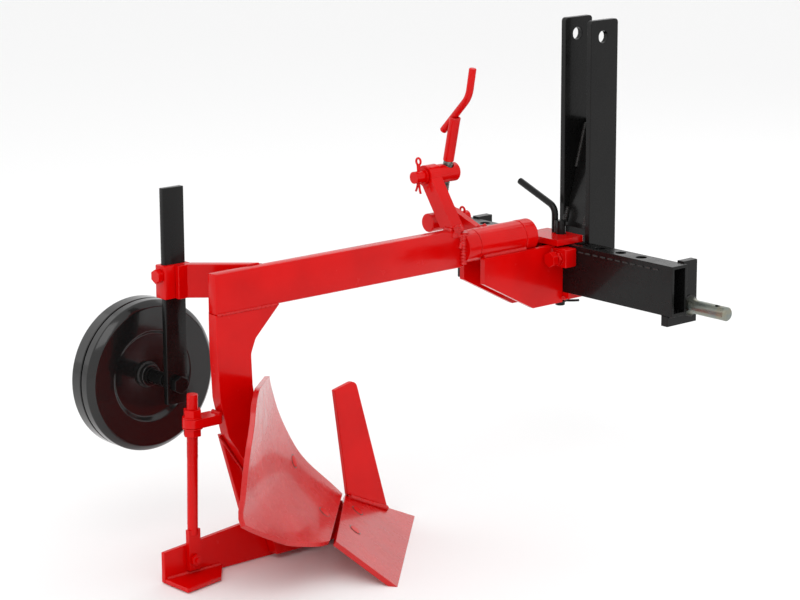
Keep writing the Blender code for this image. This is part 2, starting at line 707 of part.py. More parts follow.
# ---------------------------------------------------------------- beam and levelling screw
def build_beam():
    half = BEAM_THICKNESS / 2
    low = (PIVOT_X - half, BEAM_REAR, BEAM_BOTTOM)
    high = (PIVOT_X + half, BEAM_FRONT, BEAM_TOP)
    box("main_beam", low, high, RED, TILT, bevel=0.0015)
    shaft, collar = SHAFT_DIAMETER / 2, SHAFT_COLLAR_DIAMETER / 2
    rear = BEAM_FRONT + GAP
    front = SLEEVE_FRONT + RUNNING_GAP + RETAINER_LENGTH
    length = front - rear
    shoulder = COLLAR_FRONT - rear
    profile = [(0, length), (shaft, length), (shaft, shoulder), (collar, shoulder), (collar, 0), (0, 0)]
    turned("pivot_shaft", profile, (PIVOT_X, rear, PIVOT_Z), (PIVOT_X, front, PIVOT_Z), RED, TILT)
    ring = RETAINER_DIAMETER / 2
    inner = shaft + GAP
    start = SLEEVE_FRONT + RUNNING_GAP
    ring_profile = [(ring, RETAINER_LENGTH), (ring, 0), (inner, 0), (inner, RETAINER_LENGTH)]
    end = (PIVOT_X, start + RETAINER_LENGTH, PIVOT_Z)
    turned("shaft_retainer", ring_profile, (PIVOT_X, start, PIVOT_Z), end, RED, TILT, closed=True)


def build_tilt_arm():
    top = Vector(UPPER_TRUNNION)
    foot = Vector((ARM_FOOT_X, BEAM_TOP + GAP))
    way = (top - foot).normalized()
    side = Vector((way.y, -way.x)) * ARM_WIDTH / 2
    left_foot = foot - side + way * ((side.y) / way.y)
    right_foot = foot + side - way * ((side.y) / way.y)
    outline = [tuple(left_foot), tuple(right_foot), tuple(top + side), tuple(top - side)]
    arm = plate("tilt_arm", outline, "Y", ARM_REAR, ARM_THICKNESS, RED, TILT)
    eye_low, eye_high = (top.x, ARM_REAR, top.y), (top.x, ARM_FRONT, top.y)
    cut(arm, rod("tilt_arm_eye", eye_low, eye_high, ARM_EYE_DIAMETER, None, TILT, 28), "UNION")
    hole = TRUNNION_PIN_DIAMETER + 2 * RUNNING_GAP
    bore(arm, eye_low, eye_high, hole, 24, TILT)


def screw_point(distance):
    """A point on the screw's axis, this far above the lower trunnion's axis."""
    low, high = Vector(LOWER_TRUNNION), Vector(UPPER_TRUNNION)
    point = low + (high - low).normalized() * distance
    return Vector((point.x, (TRUNNION_REAR + TRUNNION_FRONT) / 2, point.y))


def build_trunnions():
    boss, pin = TRUNNION_DIAMETER / 2, TRUNNION_PIN_DIAMETER / 2
    length = UPPER_BOSS_FRONT - TRUNNION_REAR
    chamfer = 0.0015
    upper_pin = UPPER_PIN_REAR - TRUNNION_REAR
    profile = [
        (0, length),
        (boss - chamfer, length),
        (boss, length - chamfer),
        (boss, 0),
        (pin, 0),
        (pin, upper_pin),
        (0, upper_pin),
    ]
    x, z = UPPER_TRUNNION
    upper = turned("upper_trunnion", profile, (x, TRUNNION_REAR, z), (x, UPPER_BOSS_FRONT, z), RED, ARM_SWING, 28)
    passage = SCREW_DIAMETER + 2 * SCREW_CLEARANCE
    span = (Vector(UPPER_TRUNNION) - Vector(LOWER_TRUNNION)).length
    bore(upper, screw_point(span - boss), screw_point(span + boss), passage, 20, ARM_SWING)
    length = TRUNNION_FRONT - TRUNNION_REAR
    lower_pin = LOWER_PIN_FRONT - TRUNNION_REAR
    profile = [
        (0, lower_pin),
        (pin, lower_pin),
        (pin, length),
        (boss, length),
        (boss, chamfer),
        (boss - chamfer, 0),
        (0, 0),
    ]
    x, z = LOWER_TRUNNION
    lower = turned("lower_trunnion", profile, (x, TRUNNION_REAR, z), (x, TRUNNION_FRONT, z), RED, SCREW_SWING, 28)
    bore(lower, screw_point(0), screw_point(boss), SCREW_DIAMETER + 2 * GAP, 20, SCREW_SWING)


def build_screw():
    span = (Vector(UPPER_TRUNNION) - Vector(LOWER_TRUNNION)).length
    shoulder = span + TRUNNION_DIAMETER / 2 + SCREW_SHOULDER_GAP
    thread, sleeve = SCREW_DIAMETER / 2, SCREW_SHOULDER_DIAMETER / 2
    foot = -CUT_REACH + 2 * GAP
    top = SCREW_LENGTH
    profile = [(0, top), (sleeve, top), (sleeve, shoulder), (thread, shoulder), (thread, foot), (0, foot)]
    screw = turned("tilt_screw", profile, screw_point(0), screw_point(1), RED, SCREW_SWING, 20)
    weld = screw_point(SCREW_LENGTH)
    arm = Vector((math.sin(CRANK_ARM_ANGLE), 0, math.cos(CRANK_ARM_ANGLE)))
    grip = Vector((math.sin(CRANK_GRIP_ANGLE), 0, math.cos(CRANK_GRIP_ANGLE)))
    tail, bend = weld - arm * CRANK_TAIL, weld + arm * CRANK_ARM
    bent_rod("crank_handle", [tail, bend, bend + grip * CRANK_GRIP], CRANK_DIAMETER, RED, SCREW_SWING)
    saddle = CRANK_DIAMETER + 2 * GAP
    cut(screw, rod("tilt_screw_saddle", tail, bend, saddle, None, SCREW_SWING, 24))


# ---------------------------------------------------------------- plough body
def share_corners():
    """Landside top, landside point, wing point and wing top of the share's upper face."""
    edge = Vector((math.sin(SHARE_ANGLE), -math.cos(SHARE_ANGLE), 0))
    top = Vector((LAND_X, SHARE_TOP_BACK, SHARE_TOP_HEIGHT))
    point = Vector((LAND_X, SHARE_POINT_BACK, GROUND_HEIGHT))
    wing_point, wing_top = point + edge * SHARE_EDGE_LENGTH, top + edge * SHARE_JOINT_LENGTH
    wing_top += (wing_point - wing_top).normalized() * SHARE_WING_DROP
    return top, point, wing_point, wing_top


def build_share():
    top, point, wing_point, wing_top = share_corners()
    normal = (point - top).cross(wing_top - top).normalized()
    if normal.z < 0:
        normal.negate()
    under = [corner - normal * SHARE_THICKNESS for corner in (top, point, wing_point, wing_top)]
    for index, way in ((1, top - point), (2, wing_top - wing_point)):
        way = way.normalized()
        under[index] += way * (GROUND_HEIGHT - under[index].z) / way.z
    mesh = bpy.data.meshes.new("share")
    shape = bmesh.new()
    upper = [shape.verts.new(corner) for corner in (top, point, wing_point, wing_top)]
    lower = [shape.verts.new(corner) for corner in under]
    shape.faces.new(upper)
    shape.faces.new(lower)
    for index in range(4):
        following = (index + 1) % 4
        shape.faces.new((upper[index], upper[following], lower[following], lower[index]))
    bmesh.ops.recalc_face_normals(shape, faces=shape.faces)
    shape.to_mesh(mesh)
    shape.free()
    place(bpy.data.objects.new("share", mesh), Matrix.Identity(4), TILT, RED)
    return normal


def catmull(values, position):
    """A smooth value between the listed ones, at a position from 0 to len(values) - 1."""
    index = min(int(position), len(values) - 2)
    t = position - index
    before = values[max(index - 1, 0)]
    here, after = values[index], values[index + 1]
    beyond = values[min(index + 2, len(values) - 1)]
    slope_here, slope_after = (after - before) / 2, (beyond - here) / 2
    return (
        (2 * t**3 - 3 * t**2 + 1) * here
        + (t**3 - 2 * t**2 + t) * slope_here
        + (3 * t**2 - 2 * t**3) * after
        + (t**3 - t**2) * slope_after
    )


def mouldboard_row(fraction):
    """Height, rise, shin set-back, generator angle and generator length at a fraction of the way up."""
    position = fraction * (len(MOULDBOARD_STATIONS) - 1)
    columns = list(zip(*MOULDBOARD_STATIONS))
    height, rise, shin, angle = (catmull(columns[index], position) for index in range(4))
    index = min(int(position), len(MOULDBOARD_STATIONS) - 2)
    length = columns[4][index] + (columns[4][index + 1] - columns[4][index]) * (position - index)
    return height, rise, shin, math.radians(angle), length


def build_mouldboard():
    """A ruled sheet: a generator at each height, swung from the shin edge towards the wing."""
    mesh = bpy.data.meshes.new("mouldboard")
    shape = bmesh.new()
    rows = []
    for row in range(MOULDBOARD_ROWS + 1):
        height, rise, shin, angle, length = mouldboard_row(row / MOULDBOARD_ROWS)
        way = Vector((math.sin(angle) * length, -math.cos(angle) * length, rise))
        start = Vector((LAND_X, shin, height))
        rows.append([shape.verts.new(start + way * step / MOULDBOARD_COLUMNS) for step in range(MOULDBOARD_COLUMNS + 1)])
    for low, high in zip(rows, rows[1:]):
        for step in range(MOULDBOARD_COLUMNS):
            shape.faces.new((low[step], low[step + 1], high[step + 1], high[step]))
    shape.normal_update()
    if sum(face.normal.y for face in shape.faces) < 0:
        bmesh.ops.reverse_faces(shape, faces=shape.faces)
    shape.to_mesh(mesh)
    shape.free()
    smooth_by_angle(mesh, 50)
    obj = place(bpy.data.objects.new("mouldboard", mesh), Matrix.Identity(4), TILT, RED)
    sheet = obj.modifiers.new("sheet", "SOLIDIFY")
    sheet.thickness = MOULDBOARD_THICKNESS
    sheet.offset = -1.0
    sheet.use_even_offset = True
    return obj


def build_leg_and_frog():
    left = PIVOT_X - LEG_THICKNESS / 2
    top = BEAM_BOTTOM - GAP
    leg = [
        (BEAM_REAR, top),
        (LEG_WIDTH_TOP_FRONT, top),
        (LEG_NECK_FRONT + 0.009, -0.058, 0.015),
        (LEG_NECK_FRONT, -0.080, 0.020),
        (LEG_NECK_FRONT + 0.002, -0.128),
        (-0.612, -0.175),
        (-0.592, -0.222),
        (-0.5549, -0.270),
        (-0.5119, -0.308),
        (-0.474, -0.345),
        (-0.440, -0.366),
        (-0.362, -0.400),
        (-0.580, -0.400),
        (-0.600, -0.335),
        (-0.6275, -0.258, 0.03),
        (-0.6665, -0.199, 0.03),
        (-0.681, -0.140, 0.05),
        (BEAM_REAR, -0.060),
    ]
    plate("leg", leg, "X", left, LEG_THICKNESS, RED, TILT)
    joint = LANDSIDE_TOP + GAP
    frog = [
        (FROG_REAR_TOP, FROG_TOP),
        (FROG_REAR_BOTTOM, joint),
        (-0.450, joint),
        (-0.488, -0.305),
        (-0.533, -0.262),
        (-0.566, FROG_TOP),
    ]
    plate("frog_plate", frog, "X", LAND_PLATE_LEFT, LAND_PLATE_THICKNESS, RED, TILT)


def build_landside(share_normal):
    slope = share_normal.y / share_normal.z
    thickness_drop = (SHARE_THICKNESS + 3 * GAP) / share_normal.z
    side_drop = abs(share_normal.x / share_normal.z) * (LAND_PLATE_RIGHT - LAND_X)

    def under_share(y):
        return SHARE_TOP_HEIGHT - slope * (y - SHARE_TOP_BACK) - thickness_drop - side_drop

    rear_top = SOLE + LANDSIDE_REAR_HEIGHT
    outline = [
        (LANDSIDE_REAR, SOLE),
        (LANDSIDE_FRONT, SOLE),
        (LANDSIDE_FRONT, under_share(LANDSIDE_FRONT)),
        (SHARE_TOP_BACK, under_share(SHARE_TOP_BACK)),
        (SHARE_TOP_BACK - 0.022, LANDSIDE_TOP),
        (LANDSIDE_KNEE, LANDSIDE_TOP),
        (LANDSIDE_REAR, rear_top),
    ]
    plate("landside", outline, "X", LAND_PLATE_LEFT, LAND_PLATE_THICKNESS, RED, TILT)
    left = LAND_PLATE_RIGHT + GAP
    heel = [
        (left, LANDSIDE_REAR),
        (left + HEEL_WIDTH, LANDSIDE_REAR),
        (left + HEEL_WIDTH - HEEL_TAPER, LANDSIDE_REAR + HEEL_LENGTH),
        (left, HEEL_FRONT),
    ]
    plate("heel_plate", heel, "Z", SOLE, HEEL_THICKNESS, RED, TILT)


def build_knife(share_normal):
    slope = share_normal.y / share_normal.z
    left = LAND_X

    def on_share(y):
        return SHARE_TOP_HEIGHT - slope * (y - SHARE_TOP_BACK) + GAP / share_normal.z

    outline = [
        (KNIFE_FOOT_REAR, on_share(KNIFE_FOOT_REAR)),
        (KNIFE_FOOT_FRONT, on_share(KNIFE_FOOT_FRONT)),
        (*KNIFE_TOP_FRONT, KNIFE_CORNER),
        KNIFE_TOP_REAR,
        (KNIFE_FOOT_REAR - 0.004, on_share(KNIFE_FOOT_REAR) + KNIFE_HEEL_RISE),
    ]
    plate("share_knife", outline, "X", left, KNIFE_THICKNESS, RED, TILT)


# ---------------------------------------------------------------- heel brace
def brace_point(height):
    """The point of the brace rod's axis at a height."""
    share = (BRACE_ROD_TOP - height) / (BRACE_ROD_TOP - BRACE_FLAT_TOP)
    return Vector((BRACE_TOP_X + (BRACE_FOOT_X - BRACE_TOP_X) * share, BRACE_Y, height))


def build_brace():
    y = BRACE_Y
    x = brace_point(BRACE_EYE_TOP).x
    half = BRACE_EYE_WIDTH / 2
    low = BRACE_EYE_TOP - BRACE_EYE_HEIGHT
    leg_rear = -0.6805 - GAP
    outline = [
        (x - half, y - half, 0.0145),
        (x + half, y - half, 0.0145),
        (x + half, leg_rear),
        (x - half, leg_rear),
    ]
    eye = plate("brace_eye", outline, "Z", low, BRACE_EYE_HEIGHT, RED, TILT)
    clear_hole = BRACE_ROD_DIAMETER + 2 * BRACE_EYE_CLEARANCE
    bore(eye, brace_point(low), brace_point(BRACE_EYE_TOP), clear_hole, 20, TILT)
    foot_top = brace_point(BRACE_FLAT_TOP + 0.002)
    bar = rod("brace_rod", foot_top, brace_point(BRACE_ROD_TOP), BRACE_ROD_DIAMETER, RED, TILT)
    face = LAND_PLATE_RIGHT + GAP
    beyond = box(
        "brace_rod_clearance",
        (face - 0.030, y - 0.020, BRACE_FLAT_BOTTOM),
        (face, y + 0.020, LANDSIDE_TOP + 0.020),
        None,
        TILT,
    )
    cut(bar, beyond)
    foot = box(
        "brace_rod_foot",
        (face, y - BRACE_FLAT_WIDTH / 2, BRACE_FLAT_BOTTOM),
        (face + BRACE_FLAT_THICKNESS, y + BRACE_FLAT_WIDTH / 2, BRACE_FLAT_TOP + 0.010),
        None,
        TILT,
    )
    cut(bar, foot, "UNION")
    for name, nut_low in (
        ("brace_nut_upper", BRACE_EYE_TOP + GAP),
        ("brace_nut_lower", low - GAP - BRACE_NUT_HEIGHT),
    ):
        nut_x = brace_point(nut_low + BRACE_NUT_HEIGHT / 2).x
        start, end = (nut_x, y, nut_low), (nut_x, y, nut_low + BRACE_NUT_HEIGHT)
        nut = hexagon(name, start, end, BRACE_NUT_ACROSS, RED, TILT)
        through = brace_point(nut_low), brace_point(nut_low + BRACE_NUT_HEIGHT)
        bore(nut, *through, BRACE_ROD_DIAMETER + 2 * GAP, 20, TILT)


# ---------------------------------------------------------------- gauge wheel
def build_wheel_bracket():
    right = STEM_X + STEM_SLEEVE_WIDTH / 2
    left = STEM_X - STEM_SLEEVE_WIDTH / 2
    rear, front = STEM_SLEEVE_REAR, STEM_SLEEVE_REAR + STEM_SLEEVE_LENGTH
    low, high = STEM_SLEEVE_BOTTOM, STEM_SLEEVE_TOP
    sleeve = box("wheel_sleeve", (left, rear, low), (right, front, high), RED, TILT, bevel=0.002)
    half_x = STEM_THICKNESS / 2 + STEM_CLEARANCE
    half_y = STEM_WIDTH / 2 + STEM_CLEARANCE
    slot = box(
        "wheel_sleeve_slot",
        (STEM_X - half_x, STEM_Y - half_y, low - CUT_REACH),
        (STEM_X + half_x, STEM_Y + half_y, high + CUT_REACH),
        None,
        TILT,
    )
    cut(sleeve, slot)
    bolt_hole = SET_BOLT_DIAMETER + 2 * GAP
    bore(sleeve, (STEM_X, rear, SET_BOLT_Z), (STEM_X, STEM_Y - STEM_WIDTH / 2, SET_BOLT_Z), bolt_hole, 16, TILT)
    beam_left = PIVOT_X - BEAM_THICKNESS / 2 - GAP
    inner = [
        (right + GAP, front - 0.030),
        (right + GAP, front),
        (beam_left, STRAP_BEAM_FRONT - STRAP_BEAM_LAP),
        (beam_left, STRAP_BEAM_FRONT),
    ]
    outline = [
        inner[0],
        (inner[1][0], inner[1][1]),
        inner[3],
        inner[2],
        (beam_left - 0.004, inner[2][1] - 0.004),
        (inner[0][0] + STRAP_THICKNESS, front - 0.014),
        (inner[0][0] + STRAP_THICKNESS, inner[0][1]),
    ]
    plate("wheel_strap", outline, "Z", low, high - low, RED, TILT)
    tip = STEM_Y - STEM_WIDTH / 2 - GAP
    head = hexagon(
        "sleeve_bolt",
        (STEM_X, rear - GAP - SET_BOLT_HEAD, SET_BOLT_Z),
        (STEM_X, rear - GAP, SET_BOLT_Z),
        SET_BOLT_ACROSS,
        RED,
        TILT,
    )
    shank = rod(
        "sleeve_bolt_shank",
        (STEM_X, rear - SET_BOLT_HEAD / 2, SET_BOLT_Z),
        (STEM_X, tip, SET_BOLT_Z),
        SET_BOLT_DIAMETER,
        None,
        TILT,
        16,
    )
    cut(head, shank, "UNION")


def build_stem_and_axle():
    half_x, half_y = STEM_THICKNESS / 2, STEM_WIDTH / 2
    low = (STEM_X - half_x, STEM_Y - half_y, STEM_BOTTOM)
    high = (STEM_X + half_x, STEM_Y + half_y, STEM_TOP)
    stem = box("wheel_stem", low, high, BLACK, STEM_SLIDE, bevel=0.001)
    bore(
        stem,
        (STEM_X - half_x, STEM_Y, AXLE_Z),
        (STEM_X + half_x, STEM_Y, AXLE_Z),
        AXLE_DIAMETER + 2 * GAP,
        20,
        STEM_SLIDE,
    )
    face = STEM_X + half_x + GAP
    end = WHEEL_X - WHEEL_WIDTH / 2 - 0.002
    head = hexagon(
        "wheel_axle", (face, STEM_Y, AXLE_Z), (face + AXLE_HEAD_LENGTH, STEM_Y, AXLE_Z), AXLE_HEAD_ACROSS, BLACK, STEM_SLIDE
    )
    shank = rod(
        "wheel_axle_shank",
        (face + AXLE_HEAD_LENGTH / 2, STEM_Y, AXLE_Z),
        (end, STEM_Y, AXLE_Z),
        AXLE_DIAMETER,
        None,
        STEM_SLIDE,
    )
    cut(head, shank, "UNION")


def build_wheel():
    """Two dished discs joined at the hub, their rim lips nearly meeting at a seam."""
    radius, width, wall = WHEEL_DIAMETER / 2, WHEEL_WIDTH, WHEEL_WALL
    bore_radius = AXLE_DIAMETER / 2 + RUNNING_GAP
    hub = HUB_DIAMETER / 2
    shoulder = 0.014
    step = 0.064
    dish = 0.010
    near, far = 0.0, width
    seam = width * WHEEL_SEAM_PART
    hub_face = 0.006
    outer = [
        (bore_radius, far - hub_face),
        (hub, far - hub_face),
        (hub, far - 0.016),
        (step, far - dish),
        (step + 0.006, far - 0.003),
        (radius - shoulder, far),
        (radius - 0.004, far - 0.004),
        (radius, far - shoulder),
        (radius, seam + WHEEL_SEAM / 2),
        (radius - wall, seam + WHEEL_SEAM / 2),
        (radius - wall, far - shoulder),
        (radius - shoulder, far - wall),
        (step + 0.006, far - 0.003 - wall),
        (step, far - dish - wall),
        (hub + 0.004, far - 0.016 - wall),
    ]
    inner = [
        (hub + 0.004, near + 0.016 + wall),
        (step, near + dish + wall),
        (step + 0.006, near + 0.003 + wall),
        (radius - shoulder, near + wall),
        (radius - wall, near + shoulder),
        (radius - wall, seam - WHEEL_SEAM / 2),
        (radius, seam - WHEEL_SEAM / 2),
        (radius, near + shoulder),
        (radius - 0.004, near + 0.004),
        (radius - shoulder, near),
        (step + 0.006, near + 0.003),
        (step, near + dish),
        (hub, near + 0.016),
        (hub, near + hub_face),
        (bore_radius, near + hub_face),
    ]
    start = (WHEEL_NEAR_X - width, STEM_Y, AXLE_Z)
    end = (WHEEL_NEAR_X, STEM_Y, AXLE_Z)
    profile = [(r, width - d) for r, d in outer + inner]
    turned("gauge_wheel", profile[::-1], start, end, BLACK, WHEEL_SPIN, 40, closed=True)


def stand_on_origin():
    """Moves the root so that the middle of the footprint is at the world origin."""
    bpy.context.view_layer.update()
    graph = bpy.context.evaluated_depsgraph_get()
    corners = []
    for obj in PLOUGH.objects:
        if obj.type != "MESH":
            continue
        evaluated = obj.evaluated_get(graph)
        mesh = evaluated.to_mesh()
        corners += [evaluated.matrix_world @ vertex.co for vertex in mesh.vertices]
        evaluated.to_mesh_clear()
    low = [min(corner[axis] for corner in corners) for axis in range(3)]
    high = [max(corner[axis] for corner in corners) for axis in range(3)]
    ROOT.location = (-(low[0] + high[0]) / 2, -(low[1] + high[1]) / 2, -low[2])


build_toolbar()
for side, sign in (("left", -1), ("right", 1)):
    build_end_plate(side, sign)
    build_link_pin(side, sign)
build_mast()
build_cheeks()
build_clamp_plates()
build_sleeve_and_lug()
build_clamp_bolt()
build_locking_pin()
build_beam()
build_tilt_arm()
build_trunnions()
build_screw()
SHARE_NORMAL = build_share()
build_mouldboard()
build_leg_and_frog()
build_landside(SHARE_NORMAL)
build_knife(SHARE_NORMAL)
build_brace()
build_wheel_bracket()
build_stem_and_axle()
build_wheel()
stand_on_origin()
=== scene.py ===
"""Finished surfaces and small hardware of a single-furrow mouldboard plough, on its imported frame."""

from __future__ import annotations

import logging
import math
from dataclasses import dataclass
from enum import Enum
from typing import NamedTuple, Sequence

import bmesh
import bpy
from mathutils import Matrix, Vector
from mathutils.bvhtree import BVHTree


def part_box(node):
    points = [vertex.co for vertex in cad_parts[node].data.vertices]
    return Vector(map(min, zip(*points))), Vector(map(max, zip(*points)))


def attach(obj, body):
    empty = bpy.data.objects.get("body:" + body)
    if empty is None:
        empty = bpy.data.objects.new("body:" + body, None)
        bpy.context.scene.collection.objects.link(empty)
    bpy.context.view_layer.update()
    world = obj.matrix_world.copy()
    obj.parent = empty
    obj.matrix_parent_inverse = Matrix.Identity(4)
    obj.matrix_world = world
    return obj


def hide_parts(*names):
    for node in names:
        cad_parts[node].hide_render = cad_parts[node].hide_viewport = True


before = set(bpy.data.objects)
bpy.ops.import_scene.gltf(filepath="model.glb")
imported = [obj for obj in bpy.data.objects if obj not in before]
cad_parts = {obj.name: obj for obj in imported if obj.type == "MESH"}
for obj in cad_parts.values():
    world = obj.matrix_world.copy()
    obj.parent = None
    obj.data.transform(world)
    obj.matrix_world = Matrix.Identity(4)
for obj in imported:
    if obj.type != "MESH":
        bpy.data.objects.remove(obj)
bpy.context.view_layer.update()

LOG = logging.getLogger("plough")
MERGE = 1e-5                        # merge distance for the loose triangles of a CAD copy
FLAT_FOLD = math.radians(0.6)       # faces folded by less than this are one flat face
SHARP_FOLD = math.radians(35.0)     # folds of turned and instanced parts that stay crisp
RIGHT, AHEAD, UP = Vector((1, 0, 0)), Vector((0, 1, 0)), Vector((0, 0, 1))

Point = tuple[float, float, float]
Places = Sequence[tuple[Vector, Vector]]
Socket = bpy.types.NodeSocket
Material = bpy.types.Material
Piece = bpy.types.Object


class Body(Enum):
    """The moving bodies of the plough."""

    HEADSTOCK = "headstock"
    BEAM = "plough_beam"
    SCREW = "screw"
    ARM_TRUNNION = "arm_trunnion"
    CARRIER = "wheel_carrier"
    WHEEL = "wheel"


class Slot(Enum):
    """The material slots."""

    RED = "red_paint"
    BLACK = "black_paint"
    ENAMEL = "wheel_enamel"
    ZINC = "zinc_plate"


class Coat(NamedTuple):
    """A finish as it is laid on a piece: its material and its slot."""

    material: Material
    slot: Slot


# ---------------------------------------------------------------- places
class Box(NamedTuple):
    """A CAD node's box."""

    low: Vector
    high: Vector

    @property
    def middle(self) -> Vector:
        """The box's middle."""
        return (self.low + self.high) / 2


def toolbar_datum() -> Vector:
    """The middle of the toolbar's top rear edge, from which hardware is measured."""
    low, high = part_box("toolbar")
    return Vector(((low.x + high.x) / 2, low.y, high.z))


DATUM = toolbar_datum()


def at(x: float, y: float, z: float) -> Vector:
    """A point given to the right, ahead and above the datum."""
    return DATUM + Vector((x, y, z))


def spot(x: float, y: float, z: float) -> Vector:
    """A point of the shared frame."""
    return Vector((x, y, z))


def arc(
    centre: Vector, across: Vector, up: Vector, radius: float,
    start: float = 0.0, end: float = 360.0, steps: int = 24,
) -> list[Vector]:
    """Points on an arc.

    Args:
        centre: The arc's centre.
        across: The direction of 0 degrees.
        up: The direction of 90 degrees.
        radius: The radius.
        start: The first angle in degrees.
        end: The last angle in degrees.
        steps: How many steps.

    Returns:
        The points.
    """
    turns = [math.radians(start + (end - start) * step / steps) for step in range(steps + 1)]
    return [centre + across * radius * math.cos(t) + up * radius * math.sin(t) for t in turns]


# ---------------------------------------------------------------- finishes
class NodeWriter:
    """Writes nodes into a tree."""

    def __init__(self, tree: bpy.types.NodeTree) -> None:
        """Takes the tree to write in."""
        self.tree = tree

    def node(self, kind: str, inputs: dict[str, object], **settings: object) -> bpy.types.Node:
        """Adds a node.

        Args:
            kind: The node's type.
            inputs: Sockets to link, or constants, by an input's name or number.
            settings: The node's own properties.

        Returns:
            The node.
        """
        made = self.tree.nodes.new(kind)
        for key, value in settings.items():
            setattr(made, key, value)
        for key, value in inputs.items():
            self.plug(made.inputs[int(key) if key.isdigit() else key], value)
        return made

    def plug(self, socket: Socket, value: object) -> None:
        """Links or sets one input.

        Args:
            socket: The input.
            value: A socket to link, or a constant.
        """
        if isinstance(value, Socket):
            self.tree.links.new(value, socket)
        else:
            socket.default_value = value


class Graph(NodeWriter):
    """A material's node graph, in the piece's own coordinates."""

    def __init__(self, name: str) -> None:
        """Starts the named material."""
        self.material = bpy.data.materials.new(name)
        self.material.use_nodes = True
        super().__init__(self.material.node_tree)
        self.shader = self.tree.nodes["Principled BSDF"]
        self.coordinates = self.tree.nodes.new("ShaderNodeTexCoord").outputs["Object"]

    def noise(self, scale: float, detail: float, roughness: float = 0.5) -> Socket:
        """A noise.

        Args:
            scale: Features for each metre.
            detail: Octaves.
            roughness: How strong the fine octaves are.

        Returns:
            The noise's value.
        """
        inputs = {"Vector": self.coordinates, "Scale": scale, "Detail": detail, "Roughness": roughness}
        return self.node("ShaderNodeTexNoise", inputs).outputs["Fac"]

    def cells(self, scale: float) -> Socket:
        """The distance to the nearest of scattered points, with so many for each metre."""
        inputs = {"Vector": self.coordinates, "Scale": scale}
        return self.node("ShaderNodeTexVoronoi", inputs).outputs["Distance"]

    def spread(self, value: Socket, low: float, high: float, to: tuple[float, float]) -> Socket:
        """Maps a value's range to another.

        Args:
            value: What is mapped.
            low: The value that gives the first end.
            high: The value that gives the second end.
            to: The two ends.

        Returns:
            The mapped value.
        """
        inputs = {"Value": value, "From Min": low, "From Max": high, "To Min": to[0], "To Max": to[1]}
        return self.node("ShaderNodeMapRange", inputs).outputs["Result"]

    def blend(self, factor: Socket, first: Socket | Point, second: Socket | Point) -> Socket:
        """Mixes two colours.

        Args:
            factor: The share of the second one.
            first: A colour or a socket.
            second: A colour or a socket.

        Returns:
            The mixed colour.
        """
        mix = self.node("ShaderNodeMix", {"0": factor}, data_type="RGBA")
        ends = [socket for socket in mix.inputs if socket.type == "RGBA"]
        for socket, shade in zip(ends, (first, second)):
            self.plug(socket, shade if isinstance(shade, Socket) else (*shade, 1.0))
        return next(socket for socket in mix.outputs if socket.type == "RGBA")

    def relief(self, height: Socket, depth: float, strength: float, **under: Socket) -> Socket:
        """Bumps the surface by a height.

        Args:
            height: The height, from 0 to 1.
            depth: What 1 stands for, in metres.
            strength: The bump's strength.
            under: A Normal that this one is laid over.

        Returns:
            The bumped normal.
        """
        inputs = {"Height": height, "Distance": depth, "Strength": strength, **under}
        return self.node("ShaderNodeBump", inputs).outputs["Normal"]

    def finish(self, **values: object) -> Material:
        """Sets the shader's own sockets.

        Args:
            values: Sockets to link, or constants, by the input's name in lower case.

        Returns:
            The material.
        """
        names = {socket.name.lower().replace(" ", "_"): socket for socket in self.shader.inputs}
        for name, value in values.items():
            self.plug(names[name], value)
        return self.material


@dataclass(frozen=True)
class GlossPaint:
    """A sprayed gloss enamel with orange peel, slow colour drift, scuffs and a few chips."""

    name: str
    colour: Point
    deep: Point
    scuff: Point
    chip: Point
    roughness: tuple[float, float]
    coat: float
    sheen: float = 0.15
    peel_depth: float = 0.00012
    peel_scale: float = 620.0
    wave_depth: float = 0.0009
    chip_level: float = 0.79
    chip_edge: float = 0.01

    def material(self) -> Material:
        """Writes the material.

        Returns:
            The material.
        """
        graph = Graph(self.name)
        drift = graph.spread(graph.noise(11.0, 3.0), 0.32, 0.70, (0.0, 1.0))
        body = graph.blend(drift, self.colour, self.deep)
        scuffs = graph.spread(graph.noise(170.0, 8.0, 0.72), 0.60, 0.74, (0.0, 0.35))
        scuffed = graph.blend(scuffs, body, self.scuff)
        flakes = graph.noise(260.0, 5.0, 0.62)
        chips = graph.spread(flakes, self.chip_level, self.chip_level + self.chip_edge, (0.0, 1.0))
        wave = graph.relief(graph.noise(46.0, 2.0), self.wave_depth, 0.10)
        return graph.finish(
            base_color=graph.blend(chips, scuffed, self.chip),
            roughness=graph.spread(graph.noise(38.0, 5.0, 0.6), 0.3, 0.7, self.roughness),
            normal=graph.relief(graph.noise(self.peel_scale, 2.0), self.peel_depth, 0.22, Normal=wave),
            specular_ior_level=self.sheen,
            coat_weight=self.coat,
            coat_roughness=0.07,
        )


@dataclass(frozen=True)
class WeldPaint:
    """The same enamel lying over rough weld metal, with spatter grain."""

    name: str
    colour: Point
    deep: Point
    roughness: tuple[float, float] = (0.22, 0.42)

    def material(self) -> Material:
        """Writes the material.

        Returns:
            The material.
        """
        graph = Graph(self.name)
        grain = graph.spread(graph.cells(420.0), 0.1, 0.75, (0.0, 1.0))
        return graph.finish(
            base_color=graph.blend(grain, self.colour, self.deep),
            roughness=graph.spread(graph.noise(240.0, 4.0), 0.3, 0.7, self.roughness),
            normal=graph.relief(graph.noise(520.0, 4.0, 0.6), 0.0006, 0.55),
            specular_ior_level=0.30,
            coat_weight=0.25,
            coat_roughness=0.12,
        )


